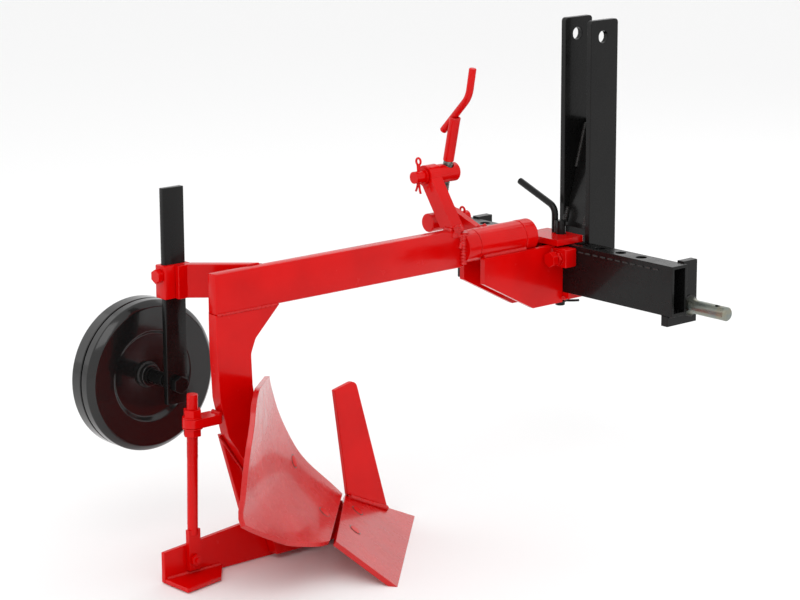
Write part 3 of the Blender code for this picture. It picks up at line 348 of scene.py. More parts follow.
@dataclass(frozen=True)
class ZincPlate:
    """Passivated zinc plate: a soft metal gloss with a faint straw and blue drift."""

    name: str
    colour: Point
    straw: Point
    blue: Point
    roughness: tuple[float, float] = (0.24, 0.44)

    def material(self) -> Material:
        """Writes the material.

        Returns:
            The material.
        """
        graph = Graph(self.name)
        drift = graph.spread(graph.noise(60.0, 4.0), 0.35, 0.7, (0.0, 1.0))
        cold = graph.spread(graph.noise(95.0, 3.0), 0.55, 0.72, (0.0, 0.7))
        return graph.finish(
            base_color=graph.blend(cold, graph.blend(drift, self.colour, self.straw), self.blue),
            metallic=1.0,
            roughness=graph.spread(graph.noise(330.0, 6.0, 0.65), 0.3, 0.7, self.roughness),
            normal=graph.relief(graph.noise(1400.0, 3.0), 0.00008, 0.30),
        )


@dataclass(frozen=True)
class GreasedSteel:
    """Bare machined steel under a film of grease and dust."""

    name: str
    colour: Point
    grease: Point

    def material(self) -> Material:
        """Writes the material.

        Returns:
            The material.
        """
        graph = Graph(self.name)
        film = graph.spread(graph.noise(150.0, 5.0, 0.6), 0.40, 0.62, (0.0, 1.0))
        return graph.finish(
            base_color=graph.blend(film, self.colour, self.grease),
            metallic=graph.spread(film, 0.0, 1.0, (0.95, 0.45)),
            roughness=graph.spread(film, 0.0, 1.0, (0.30, 0.52)),
            normal=graph.relief(graph.noise(900.0, 3.0), 0.0001, 0.3),
        )


@dataclass(frozen=True)
class StudioFloor:
    """A plain pale matt floor."""

    colour: Point = (0.92, 0.92, 0.92)
    roughness: float = 0.75

    def material(self) -> Material:
        """Writes the material and returns it."""
        return Graph("studio_floor").finish(base_color=(*self.colour, 1.0), roughness=self.roughness)


class PaintShop:
    """Every finish of the plough, made once."""

    def __init__(self) -> None:
        """Writes the materials."""
        red = GlossPaint(
            "red_gloss", (0.66, 0.0008, 0.0006), (0.54, 0.0005, 0.0005), (0.70, 0.012, 0.010),
            (0.16, 0.006, 0.005), (0.16, 0.28), 0.10,
        )
        board = GlossPaint(
            "board_gloss", (0.56, 0.0012, 0.0010), (0.46, 0.0008, 0.0008), (0.60, 0.014, 0.012),
            (0.16, 0.006, 0.005), (0.22, 0.32), 0.34, sheen=0.30, wave_depth=0.0004,
        )
        red_weld = WeldPaint("red_weld", (0.66, 0.001, 0.001), (0.52, 0.0006, 0.0006))
        black = GlossPaint(
            "black_gloss", (0.0042, 0.0042, 0.0043), (0.0065, 0.0064, 0.0061),
            (0.024, 0.023, 0.021), (0.05, 0.045, 0.04), (0.20, 0.34), 0.12, wave_depth=0.0012,
        )
        black_weld = WeldPaint("black_weld", (0.009, 0.009, 0.009), (0.018, 0.017, 0.016))
        enamel = GlossPaint(
            "wheel_enamel", (0.006, 0.006, 0.0062), (0.010, 0.0098, 0.0094),
            (0.035, 0.034, 0.032), (0.05, 0.045, 0.04), (0.12, 0.22), 0.30,
            sheen=0.30, wave_depth=0.0016,
        )
        zinc = ZincPlate("zinc_plate", (0.24, 0.27, 0.25), (0.27, 0.26, 0.20), (0.19, 0.23, 0.24))
        steel = GreasedSteel("greased_thread", (0.26, 0.27, 0.25), (0.030, 0.034, 0.028)).material()
        self.red = Coat(red.material(), Slot.RED)
        self.board = Coat(board.material(), Slot.RED)
        self.red_weld = Coat(red_weld.material(), Slot.RED)
        self.black = Coat(black.material(), Slot.BLACK)
        self.black_weld = Coat(black_weld.material(), Slot.BLACK)
        self.enamel = Coat(enamel.material(), Slot.ENAMEL)
        self.hub_weld = Coat(self.black_weld.material, Slot.ENAMEL)
        self.zinc = Coat(zinc.material(), Slot.ZINC)
        self.thread = Coat(steel, Slot.ZINC)
        # Dark greased-steel discs under the plough bolt heads: painted shade for the gap round each
        # countersunk head.
        self.bolt_seat = Coat(steel, Slot.RED)


# ---------------------------------------------------------------- making meshes
def new_piece(name: str, mesh: bpy.types.Mesh, material: Material) -> Piece:
    """Puts a finished mesh in the scene.

    Args:
        name: The piece's name.
        mesh: Its mesh, already in place.
        material: Its finish.

    Returns:
        The piece.
    """
    mesh.name = name
    mesh.materials.clear()
    mesh.materials.append(material)
    return placed(name, mesh)


def placed(name: str, data: bpy.types.ID | None) -> Piece:
    """Links a new object to the scene.

    Args:
        name: The object's name.
        data: Its mesh, curve, light or camera.

    Returns:
        The object.
    """
    made = bpy.data.objects.new(name, data)
    bpy.context.scene.collection.objects.link(made)
    return made


def meshed(shape: bmesh.types.BMesh, name: str) -> bpy.types.Mesh:
    """Turns an edit mesh into a plain one and frees it.

    Args:
        shape: The edit mesh.
        name: The mesh's name.

    Returns:
        The mesh.
    """
    mesh = bpy.data.meshes.new(name)
    shape.to_mesh(mesh)
    shape.free()
    return mesh


def smoothed(mesh: bpy.types.Mesh, fold: float = SHARP_FOLD) -> None:
    """Smooths a mesh, apart from folds of more than the given angle."""
    mesh.shade_smooth()
    mesh.set_sharp_from_angle(angle=fold)


def settled(draft: Piece, name: str, material: Material) -> Piece:
    """Turns an object with modifiers into a plain mesh piece and removes the draft.

    Args:
        draft: The object with live modifiers.
        name: The piece's name.
        material: Its finish.

    Returns:
        The piece.
    """
    bpy.context.view_layer.update()
    graph = bpy.context.evaluated_depsgraph_get()
    mesh = bpy.data.meshes.new_from_object(draft.evaluated_get(graph))
    mesh.transform(draft.matrix_world)
    bpy.data.objects.remove(draft, do_unlink=True)
    return new_piece(name, mesh, material)


def eased(draft: Piece, radius: float, angle: float, steps: int) -> None:
    """Gives an object rolled edges.

    Args:
        draft: The object.
        radius: The edge radius.
        angle: The least fold, in degrees, that is rolled.
        steps: Faces round each edge.
    """
    edges = draft.modifiers.new("edges", "BEVEL")
    edges.width = radius
    edges.segments = steps
    edges.limit_method = "ANGLE"
    edges.angle_limit = math.radians(angle)
    edges.harden_normals = True


def from_cad(node: str, radius: float, material: Material, curved: bool = False) -> Piece:
    """A copy of a CAD node with merged faces and rolled edges.

    Args:
        node: The CAD node.
        radius: The edge radius.
        material: The finish.
        curved: Whether it is a bent sheet, whose faces stay as they are but for paired triangles.

    Returns:
        The piece.
    """
    angle, pair_fold, pair_skew = 40.0, math.radians(30.0), math.radians(60.0)
    shape = bmesh.new()
    shape.from_mesh(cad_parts[node].data)
    bmesh.ops.remove_doubles(shape, verts=shape.verts, dist=MERGE)
    if curved:
        bmesh.ops.join_triangles(
            shape, faces=shape.faces, angle_face_threshold=pair_fold, angle_shape_threshold=pair_skew
        )
    else:
        bmesh.ops.dissolve_limit(shape, angle_limit=FLAT_FOLD, verts=shape.verts, edges=shape.edges)
    mesh = meshed(shape, node + "_draft")
    if "custom_normal" in mesh.attributes:
        mesh.attributes.remove(mesh.attributes["custom_normal"])
    smoothed(mesh, math.radians(angle))
    draft = placed(node + "_draft", mesh)
    eased(draft, radius, angle, 3)
    return settled(draft, node + "_finished", material)


def lathe(
    name: str, profile: Sequence[tuple[float, float]], base: Vector, way: Vector, material: Material,
    steps: int, ring: bool = False, edge: float = 0.0,
) -> Piece:
    """Turns a profile about a line.

    Args:
        name: The piece's name.
        profile: Radius and distance along the line, from one end to the other.
        base: Where distance 0 is.
        way: The line's direction.
        material: The finish.
        steps: Faces round the line.
        ring: Whether the profile closes on itself and leaves the axis open.
        edge: The edge radius.

    Returns:
        The piece.
    """
    shape = bmesh.new()
    turns = [math.tau * step / steps for step in range(steps)]
    rows = []
    for radius, distance in profile:
        points = [(radius * math.cos(t), radius * math.sin(t), distance) for t in turns]
        if radius < MERGE:
            points = [(0.0, 0.0, distance)]
        rows.append([shape.verts.new(point) for point in points])
    pairs = list(zip(rows, rows[1:])) + ([(rows[-1], rows[0])] if ring else [])
    for first, second in pairs:
        for step in range(steps):
            after = (step + 1) % steps
            if len(first) == 1:
                corners = (first[0], second[after], second[step])
            elif len(second) == 1:
                corners = (first[step], first[after], second[0])
            else:
                corners = (first[step], first[after], second[after], second[step])
            shape.faces.new(corners)
    bmesh.ops.recalc_face_normals(shape, faces=shape.faces)
    turn = way.to_track_quat("Z", "Y").to_matrix().to_4x4()
    bmesh.ops.transform(shape, matrix=Matrix.Translation(base) @ turn, verts=shape.verts)
    mesh = meshed(shape, name)
    smoothed(mesh)
    if not edge:
        return new_piece(name, mesh, material)
    draft = placed(name + "_draft", mesh)
    eased(draft, edge, 22.0, 3)
    return settled(draft, name, material)


def drawn(name: str, path: Sequence[Vector], kind: str) -> bpy.types.Curve:
    """A curve through points.

    Args:
        name: The curve's name.
        path: The points.
        kind: POLY for straight runs, NURBS for smooth ones.

    Returns:
        The curve.
    """
    curve = bpy.data.curves.new(name, "CURVE")
    curve.dimensions = "3D"
    spline = curve.splines.new(kind)
    spline.points.add(len(path) - 1)
    for knot, point in zip(spline.points, path):
        knot.co = (*point, 1.0)
    return curve


def wire(name: str, path: Sequence[Vector], radius: float, material: Material) -> Piece:
    """Round wire along a smooth path.

    Args:
        name: The piece's name.
        path: The wire's points.
        radius: The wire's radius.
        material: The finish.

    Returns:
        The piece.
    """
    curve = drawn(name, path, "NURBS")
    curve.bevel_depth = radius
    curve.bevel_resolution = 3
    curve.use_fill_caps = True
    curve.resolution_u = 4
    curve.splines[0].use_endpoint_u = True
    curve.splines[0].order_u = 3
    piece = settled(placed(name + "_draft", curve), name, material)
    shape = bmesh.new()
    shape.from_mesh(piece.data)
    bmesh.ops.remove_doubles(shape, verts=shape.verts, dist=MERGE)
    bmesh.ops.recalc_face_normals(shape, faces=shape.faces)
    shape.to_mesh(piece.data)
    shape.free()
    piece.data.shade_smooth()
    return piece


# ---------------------------------------------------------------- geometry node trees
class TreeWriter(NodeWriter):
    """Writes a geometry node tree with named inputs."""

    def __init__(self, name: str, numbers: dict[str, float]) -> None:
        """Starts a tree with a geometry, numbers and a material as inputs.

        Args:
            name: The tree's name.
            numbers: Each number input's name and default; an int makes a whole number.
        """
        super().__init__(bpy.data.node_groups.new(name, "GeometryNodeTree"))
        sockets = self.tree.interface.new_socket
        sockets("Geometry", in_out="INPUT", socket_type="NodeSocketGeometry")
        sockets("Geometry", in_out="OUTPUT", socket_type="NodeSocketGeometry")
        for label, value in numbers.items():
            kind = "NodeSocketInt" if isinstance(value, int) else "NodeSocketFloat"
            sockets(label, in_out="INPUT", socket_type=kind).default_value = value
        sockets("Finish", in_out="INPUT", socket_type="NodeSocketMaterial")
        self.given = self.tree.nodes.new("NodeGroupInput").outputs
        self.sink = self.tree.nodes.new("NodeGroupOutput")

    def out(self, kind: str, inputs: dict[str, object], **settings: object) -> Socket:
        """Adds a node and returns its first output."""
        return self.node(kind, inputs, **settings).outputs[0]

    def sum(self, operation: str, first: object, second: object) -> Socket:
        """Works out one step of arithmetic on sockets or numbers."""
        return self.out("ShaderNodeMath", {"0": first, "1": second}, operation=operation)

    def close(self, geometry: Socket) -> bpy.types.NodeTree:
        """Ends the tree in Realize Instances and Set Material.

        Args:
            geometry: What has been made.

        Returns:
            The tree.
        """
        real = self.out("GeometryNodeRealizeInstances", {"Geometry": geometry})
        dress = {"Geometry": real, "Material": self.given["Finish"]}
        self.plug(self.sink.inputs[0], self.out("GeometryNodeSetMaterial", dress))
        return self.tree


def bead_tree() -> bpy.types.NodeTree:
    """A weld bead along each curve: a round run whose section swells at every ripple.

    Returns:
        The tree.
    """
    numbers = {"Bead Radius": 0.003, "Ripple Pitch": 0.0024, "Ripple Depth": 0.16, "Seed": 7.0}
    tree = TreeWriter("weld_bead", numbers)
    pitch = tree.given["Ripple Pitch"]
    path = {"Curve": tree.given["Geometry"], "Length": tree.sum("DIVIDE", pitch, 4.0)}
    run = tree.out("GeometryNodeResampleCurve", path, mode="LENGTH")
    along = tree.node("GeometryNodeSplineParameter", {}).outputs["Length"]
    turn = tree.sum("MULTIPLY", tree.sum("DIVIDE", along, pitch), math.tau)
    ripple = tree.sum("MULTIPLY", tree.sum("SINE", turn, 0.0), tree.given["Ripple Depth"])
    grain = {"W": tree.given["Seed"], "Scale": 210.0, "Detail": 2.0}
    wander = tree.out("ShaderNodeTexNoise", grain, noise_dimensions="4D")
    uneven = tree.sum("ADD", tree.sum("MULTIPLY", wander, 0.8), 0.6)
    circle = {"Resolution": 9, "Radius": tree.given["Bead Radius"]}
    section = tree.out("GeometryNodeCurvePrimitiveCircle", circle)
    swept = {
        "Curve": run, "Profile Curve": section,
        "Scale": tree.sum("ADD", uneven, ripple), "Fill Caps": True,
    }
    bead = tree.out("GeometryNodeCurveToMesh", swept)
    return tree.close(tree.out("GeometryNodeSetShadeSmooth", {"Geometry": bead}))


def thread_tree() -> bpy.types.NodeTree:
    """A threaded bar along +Z: a core with a raised ridge wound round it.

    Returns:
        The tree.
    """
    numbers = {"Core Radius": 0.0072, "Ridge Radius": 0.0009, "Pitch": 0.003, "Length": 0.08}
    tree = TreeWriter("screw_thread", numbers)
    core, length = tree.given["Core Radius"], tree.given["Length"]
    winding = {
        "Resolution": 20, "Rotations": tree.sum("DIVIDE", length, tree.given["Pitch"]),
        "Start Radius": core, "End Radius": core, "Height": length,
    }
    helix = tree.out("GeometryNodeCurveSpiral", winding)
    ridge = {"Resolution": 5, "Radius": tree.given["Ridge Radius"]}
    section = tree.out("GeometryNodeCurvePrimitiveCircle", ridge)
    swept = {"Curve": helix, "Profile Curve": section, "Fill Caps": True}
    wound = tree.out("GeometryNodeCurveToMesh", swept)
    bar = tree.out("GeometryNodeMeshCylinder", {"Vertices": 28, "Radius": core, "Depth": length})
    half = tree.out("ShaderNodeCombineXYZ", {"Z": tree.sum("DIVIDE", length, 2.0)})
    lifted = tree.out("GeometryNodeTransform", {"Geometry": bar, "Translation": half})
    both = tree.node("GeometryNodeJoinGeometry", {})
    tree.plug(both.inputs[0], wound)
    tree.plug(both.inputs[0], lifted)
    return tree.close(both.outputs[0])


def stud_tree() -> bpy.types.NodeTree:
    """A round or hexagonal head on each point, standing along the point's own direction.

    Returns:
        The tree.
    """
    numbers = {"Head Radius": 0.008, "Head Height": 0.001, "Sides": 6, "Stretch": 1.0}
    tree = TreeWriter("stud_heads", numbers)
    size = {
        "Vertices": tree.given["Sides"], "Radius": tree.given["Head Radius"],
        "Depth": tree.given["Head Height"],
    }
    facing = tree.out(
        "GeometryNodeInputNamedAttribute", {"Name": "facing"}, data_type="FLOAT_VECTOR"
    )
    scale = {"X": tree.given["Stretch"], "Y": 1.0, "Z": 1.0}
    stands = {
        "Points": tree.out("GeometryNodeMeshToPoints", {"Mesh": tree.given["Geometry"]}),
        "Instance": tree.out("GeometryNodeMeshCylinder", size),
        "Rotation": tree.out("FunctionNodeAlignRotationToVector", {"Vector": facing}, axis="Z"),
        "Scale": tree.out("ShaderNodeCombineXYZ", scale),
    }
    return tree.close(tree.out("GeometryNodeInstanceOnPoints", stands))


class Beads(list):
    """Weld runs, each with its points and its radius, in the order they are laid."""

    def line(self, radius: float, *points: Vector) -> None:
        """Adds a run through the points."""
        self.append((points, radius))

    def post(self, radius: float, x: float, y: float, low: float, high: float) -> None:
        """Adds an upright run from one height to another."""
        self.line(radius, spot(x, y, low), spot(x, y, high))

    def heap(self, middle: Vector, reach: float, radius: float) -> None:
        """Adds short overlapping runs where a weld was built up.

        Args:
            middle: The middle of the heap.
            reach: Half of its height.
            radius: The radius that the runs' own is taken from.
        """
        for step in range(4):
            core = middle + AHEAD * ((step - 1.5) * radius * 0.75)
            top = core + UP * (reach * (0.75 + 0.12 * (step % 2)))
            self.line(radius * 0.8, core - UP * reach, core + AHEAD * (radius * 0.7), top)


class Hardware:
    """Grows welds, threads and heads from their trees."""

    def __init__(self) -> None:
        """Builds the three trees."""
        self.beads, self.threads, self.studs = bead_tree(), thread_tree(), stud_tree()

    def grown(
        self, name: str, data: bpy.types.ID, tree: bpy.types.NodeTree,
        material: Material, values: dict[str, float],
    ) -> Piece:
        """Runs a tree on a drawn curve or on points.

        Args:
            name: The piece's name.
            data: The curve or mesh that it starts from.
            tree: The tree.
            material: The finish.
            values: The tree's numbers by name.

        Returns:
            The piece, as a plain mesh.
        """
        values = {**values, "Finish": material}
        draft = placed(name + "_draft", data)
        grow = draft.modifiers.new("grow", "NODES")
        grow.node_group = tree
        for item in tree.interface.items_tree:
            if item.item_type == "SOCKET" and item.in_out == "INPUT" and item.name in values:
                grow[item.identifier] = values[item.name]
        return settled(draft, name, material)

    def weld(self, name: str, beads: Beads, material: Material, seed: int) -> Piece:
        """One mesh of weld beads.

        Args:
            name: The piece's name.
            beads: The runs.
            material: The finish.
            seed: What tells these beads' wander from others'.

        Returns:
            The piece.
        """
        shape = bmesh.new()
        for number, (points, radius) in enumerate(beads):
            label = f"{name}_{number}"
            ripple = max(0.0018, radius * 0.8)
            values = {"Bead Radius": radius, "Ripple Pitch": ripple, "Seed": float(seed + number)}
            run = self.grown(label, drawn(label, points, "POLY"), self.beads, material, values)
            shape.from_mesh(run.data)
            bpy.data.objects.remove(run, do_unlink=True)
        return new_piece(name, meshed(shape, name), material)

    def thread(
        self, name: str, start: Vector, end: Vector, core: float, ridge: float, pitch: float,
        material: Material,
    ) -> Piece:
        """A threaded bar between two points.

        Args:
            name: The piece's name.
            start: One end.
            end: The other end.
            core: The core's radius.
            ridge: The ridge's radius.
            pitch: The lead of one turn.
            material: The finish.

        Returns:
            The piece.
        """
        way = end - start
        values = {"Core Radius": core, "Ridge Radius": ridge, "Pitch": pitch, "Length": way.length}
        piece = self.grown(name, bpy.data.meshes.new(name), self.threads, material, values)
        turn = way.to_track_quat("Z", "Y").to_matrix().to_4x4()
        piece.data.transform(Matrix.Translation(start) @ turn)
        smoothed(piece.data, math.radians(50))
        return piece

    def heads(
        self, name: str, places: Places, radius: float, height: float, sides: int, material: Material,
        stretch: float = 1.0, edge: float = 0.0004,
    ) -> Piece:
        """Bolt heads, nuts or washers.

        Args:
            name: The piece's name.
            places: Each one's middle and direction.
            radius: The radius over the corners.
            height: The height.
            sides: How many sides.
            material: The finish.
            stretch: Length over width, for an oval head.
            edge: The edge radius.

        Returns:
            The piece.
        """
        mesh = bpy.data.meshes.new(name)
        mesh.from_pydata([place for place, _ in places], [], [])
        facing = mesh.attributes.new("facing", "FLOAT_VECTOR", "POINT")
        facing.data.foreach_set("vector", [number for _, way in places for number in way])
        values = {"Head Radius": radius, "Head Height": height, "Sides": sides, "Stretch": stretch}
        draft = self.grown(name + "_sharp", mesh, self.studs, material, values)
        smoothed(draft.data)
        eased(draft, edge, 35.0, 2)
        return settled(draft, name, material)


# ---------------------------------------------------------------- sub-assemblies
@dataclass
class SubAssembly:
    """What every sub-assembly shares: the paint shop, the hardware and the handing over."""

    shop: PaintShop
    hardware: Hardware
    body = Body.BEAM

    def keep(self, piece: Piece, coat: Coat, *nodes: str, body: Body | None = None) -> None:
        """Hangs a piece on its body and logs it.

        Args:
            piece: The piece.
            coat: Its finish, which names its slot.
            nodes: CAD nodes that it stands for.
            body: The body that it rides on, where it isn't the sub-assembly's own.
        """
        body, slot = body or self.body, coat.slot
        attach(piece, body.value)
        if nodes:
            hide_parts(*nodes)
        LOG.info("%s on %s, %d faces", piece.name, body.value, len(piece.data.polygons))

    def plates(self, coat: Coat, edges: dict[str, float], body: Body | None = None) -> None:
        """Rolls the edges of CAD nodes and hangs the copies in their place.

        Args:
            coat: The finish.
            edges: Each node's edge radius.
            body: The body, where it isn't the sub-assembly's own.
        """
        for node, radius in edges.items():
            self.keep(from_cad(node, radius, coat.material), coat, node, body=body)

    def weld(self, name: str, beads: Beads, coat: Coat, seed: int, body: Body | None = None) -> None:
        """Lays the beads as one piece and hangs it."""
        self.keep(self.hardware.weld(name, beads, coat.material, seed), coat, body=body)

    def heads(
        self, name: str, places: Places, radius: float, height: float, sides: int, coat: Coat,
        body: Body | None = None, **shape: float,
    ) -> None:
        """Makes bolt heads, nuts or washers and hangs them.

        Args:
            name: The piece's name.
            places: Each one's middle and direction.
            radius: The radius over the corners.
            height: The height.
            sides: How many sides.
            coat: The finish.
            body: The body, where it isn't the sub-assembly's own.
            shape: The stretch and the edge radius, where they aren't the usual ones.
        """
        made = self.hardware.heads(name, places, radius, height, sides, coat.material, **shape)
        self.keep(made, coat, body=body)


@dataclass
class Headstock(SubAssembly):
    """Toolbar, end plates, lower link pins and mast."""

    body = Body.HEADSTOCK
    bar_edge: float = 0.0045
    plate_edge: float = 0.0012
    pin_edge: float = 0.0006
    stitch_length: float = 0.011
    stitch_gap: float = 0.0055
    stitch_drop: float = 0.009
    stitch_bead: float = 0.0013
    stitch_margins: tuple[float, float] = (0.014, 0.022)
    bracket_span: tuple[float, float] = (-0.066, 0.030)
    bead: float = 0.0030
    pin_bead: float = 0.0024
    collar_radius: float = 0.0150

    def build(self) -> None:
        """Builds and hangs every piece."""
        shop = self.shop
        self.plates(shop.black, {"toolbar": self.bar_edge})
        plates = ("end_plate_left", "end_plate_right", "mast_plate_left", "mast_plate_right", "mast_brace")
        self.plates(shop.black, dict.fromkeys(plates, self.plate_edge))
        self.plates(shop.zinc, dict.fromkeys(("lower_pin_left", "lower_pin_right"), self.pin_edge))
        beads = Beads()
        for sign, side in ((-1, "left"), (1, "right")):
            self.mast_beads(beads, sign)
            self.end_beads(beads, sign, side)
        self.stitches(beads)
        self.weld("headstock_welds", beads, shop.black_weld, 11)

    def mast_beads(self, beads: Beads, sign: int) -> None:
        """Welds one mast plate to the toolbar and to the brace.

        Args:
            beads: The list that the runs go in.
            sign: Which side.
        """
        bar = Box(*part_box("toolbar"))
        mast = Box(*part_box("mast_plate_right"))
        brace = Box(*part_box("mast_brace"))
        foot, top = bar.low.z + 0.004, bar.high.z - 0.004
        beads.post(self.bead, sign * mast.high.x, mast.low.y, foot, top)
        inner = sign * (mast.low.x - 0.0010)
        start = spot(inner, brace.low.y, brace.low.z + 0.003)
        end = spot(inner, brace.high.y - 0.008, brace.high.z - 0.003)
        for first, last in ((0.02, 0.16), (0.55, 0.98)):
            beads.line(self.bead * 1.35, start.lerp(end, first), start.lerp(end, last))
        beads.line(self.bead * 0.8, start + AHEAD * 0.008, end + AHEAD * 0.008)

    def end_beads(self, beads: Beads, sign: int, side: str) -> None:
        """Welds one end plate to the toolbar and its pin to the plate.

        Args:
            beads: The list that the runs go in.
            sign: Which side.
            side: The side's name.
        """
        bar = Box(*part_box("toolbar"))
        plate = Box(*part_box(f"end_plate_{side}"))
        pin = Box(*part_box(f"lower_pin_{side}")).middle
        for x in (plate.low.x, plate.high.x):
            corner = spot(x, bar.high.y, bar.low.z)
            beads.line(self.bead, spot(x, bar.low.y + 0.003, bar.low.z), corner)
            beads.line(self.bead, corner, spot(x, bar.high.y, bar.high.z - 0.002))
        centre = spot(plate.high.x if sign > 0 else plate.low.x, pin.y, pin.z)
        beads.line(self.pin_bead, *arc(centre, AHEAD, UP, self.collar_radius))

    def stitches(self, beads: Beads) -> None:
        """Stitches the toolbar's rear face, clear of the bracket."""
        bar = Box(*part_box("toolbar"))
        x, right = bar.low.x + self.stitch_margins[0], bar.high.x - self.stitch_margins[1]
        z = bar.high.z - self.stitch_drop
        while x + self.stitch_length < right:
            if x + self.stitch_length < self.bracket_span[0] or x > self.bracket_span[1]:
                end = spot(x + self.stitch_length, bar.low.y, z)
                beads.line(self.stitch_bead, spot(x, bar.low.y, z), end)
            x += self.stitch_length + self.stitch_gap


@dataclass
class OffsetBracket(SubAssembly):
    """Cheeks, clamp plates, pivot sleeve, lug, clamp bolt and locking pin."""

    body = Body.HEADSTOCK
    plate_edge: float = 0.0010
    tube_edge: float = 0.0009
    cheek_bead: float = 0.0044
    plate_bead: float = 0.0028
    bead: float = 0.0030
    small_bead: float = 0.0026
    seam_offset: float = 0.0212
    lug_ring: float = 0.0263
    clip_wire: float = 0.0020
    clip_drop: float = 0.0075
    clip_side: Point = (0.657, 0.754, 0.0)
    clip_across: Point = (-0.754, 0.657, 0.0)

    def build(self) -> None:
        """Builds and hangs every piece."""
        shop = self.shop
        edges = {
            "bracket_cheek_left": self.plate_edge,
            "bracket_cheek_right": self.plate_edge,
            "bracket_top_plate": self.plate_edge,
            "bracket_bottom_plate": self.plate_edge,
            "pivot_sleeve": self.tube_edge,
            "screw_lug": self.plate_edge,
            "clamp_block": 0.0008,
            "clamp_bolt": 0.0009,
        }
        self.plates(shop.red, edges)
        self.plates(shop.black, {"locking_pin": 0.0016, "locking_pin_handle": 0.0010})
        self.weld("bracket_welds", self.runs(), shop.red_weld, 31)
        self.clamp_washer()
        self.handle_weld()
        self.retaining_clip()

    def runs(self) -> Beads:
        """The bracket's weld beads.

        Returns:
            The runs.
        """
        tube = Box(*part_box("pivot_sleeve"))
        left = Box(*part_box("bracket_cheek_left"))
        right = Box(*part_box("bracket_cheek_right"))
        top, bottom = Box(*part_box("bracket_top_plate")), Box(*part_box("bracket_bottom_plate"))
        lug, block = Box(*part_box("screw_lug")), Box(*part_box("clamp_block"))
        beads = Beads()
        seam = left.high.z + 0.0012
        for sign in (-1, 1):
            x = tube.middle.x + sign * self.seam_offset
            start, end = spot(x, left.low.y + 0.003, seam), spot(x, tube.high.y - 0.001, seam)
            beads.line(self.cheek_bead, start, end)
        for x in (left.low.x, right.high.x):
            start, end = spot(x, top.low.y + 0.002, left.high.z), spot(x, left.high.y, left.high.z)
            beads.line(self.plate_bead, start, end)
        sides = (bottom.low.x + 0.006, bottom.high.x - 0.006)
        beads.line(self.bead, *(spot(x, bottom.low.y, bottom.low.z + 0.001) for x in sides))
        for y in (lug.low.y, lug.high.y):
            centre = spot(tube.middle.x, y, tube.middle.z)
            beads.line(self.bead, *arc(centre, -RIGHT, UP, self.lug_ring, -34, 74, 18))
        foot, head = block.low.z + 0.002, block.high.z - 0.002
        beads.post(self.small_bead, block.low.x, block.low.y, foot, head)
        sides = (left.low.x + 0.001, left.high.x)
        beads.line(self.small_bead, *(spot(x, left.high.y, left.low.z + 0.004) for x in sides))
        return beads

    def clamp_washer(self) -> None:
        """The washer and the locknut of the clamp bolt."""
        bolt, block, red = Box(*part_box("clamp_bolt")).middle, Box(*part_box("clamp_block")), self.shop.red
        seat = spot(bolt.x, block.low.y - 0.0015, bolt.z)
        self.heads("clamp_bolt_washer", [(seat, AHEAD)], 0.0125, 0.0026, 32, red)
        self.heads("clamp_bolt_locknut", [(seat - AHEAD * 0.0052, AHEAD)], 0.0120, 0.0052, 6, red)

    def handle_weld(self) -> None:
        """The fillets that join the handle to the locking pin."""
        pin, plate, beads = Box(*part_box("locking_pin")), Box(*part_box("bracket_top_plate")).high.z, Beads()
        for side in (-0.0042, 0.0042):
            y = pin.middle.y + side
            beads.post(0.0024, pin.low.x + 0.0002, y, plate + 0.002, pin.high.z - 0.001)
        self.weld("locking_handle_weld", beads, self.shop.black_weld, 57)

    def retaining_clip(self) -> None:
        """The spring wire clip under the bracket: a ring round the pin with two tails."""
        node = Box(*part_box("locking_clip"))
        middle = node.middle - UP * self.clip_drop
        ring = (node.high.x - node.low.x) / 2 - self.clip_wire
        side, rise = Vector(self.clip_side), UP * 0.0015
        path = [
            middle - side * 0.029 - rise * 1.6,
            middle - side * 0.016 - rise,
            *arc(middle, side, Vector(self.clip_across), ring, 205, 530, 26),
            middle + side * 0.017 - rise,
            middle + side * 0.031 - rise * 0.4,
        ]
        clip = wire("locking_clip_wire", path, self.clip_wire, self.shop.black.material)
        self.keep(clip, self.shop.black, "locking_clip")


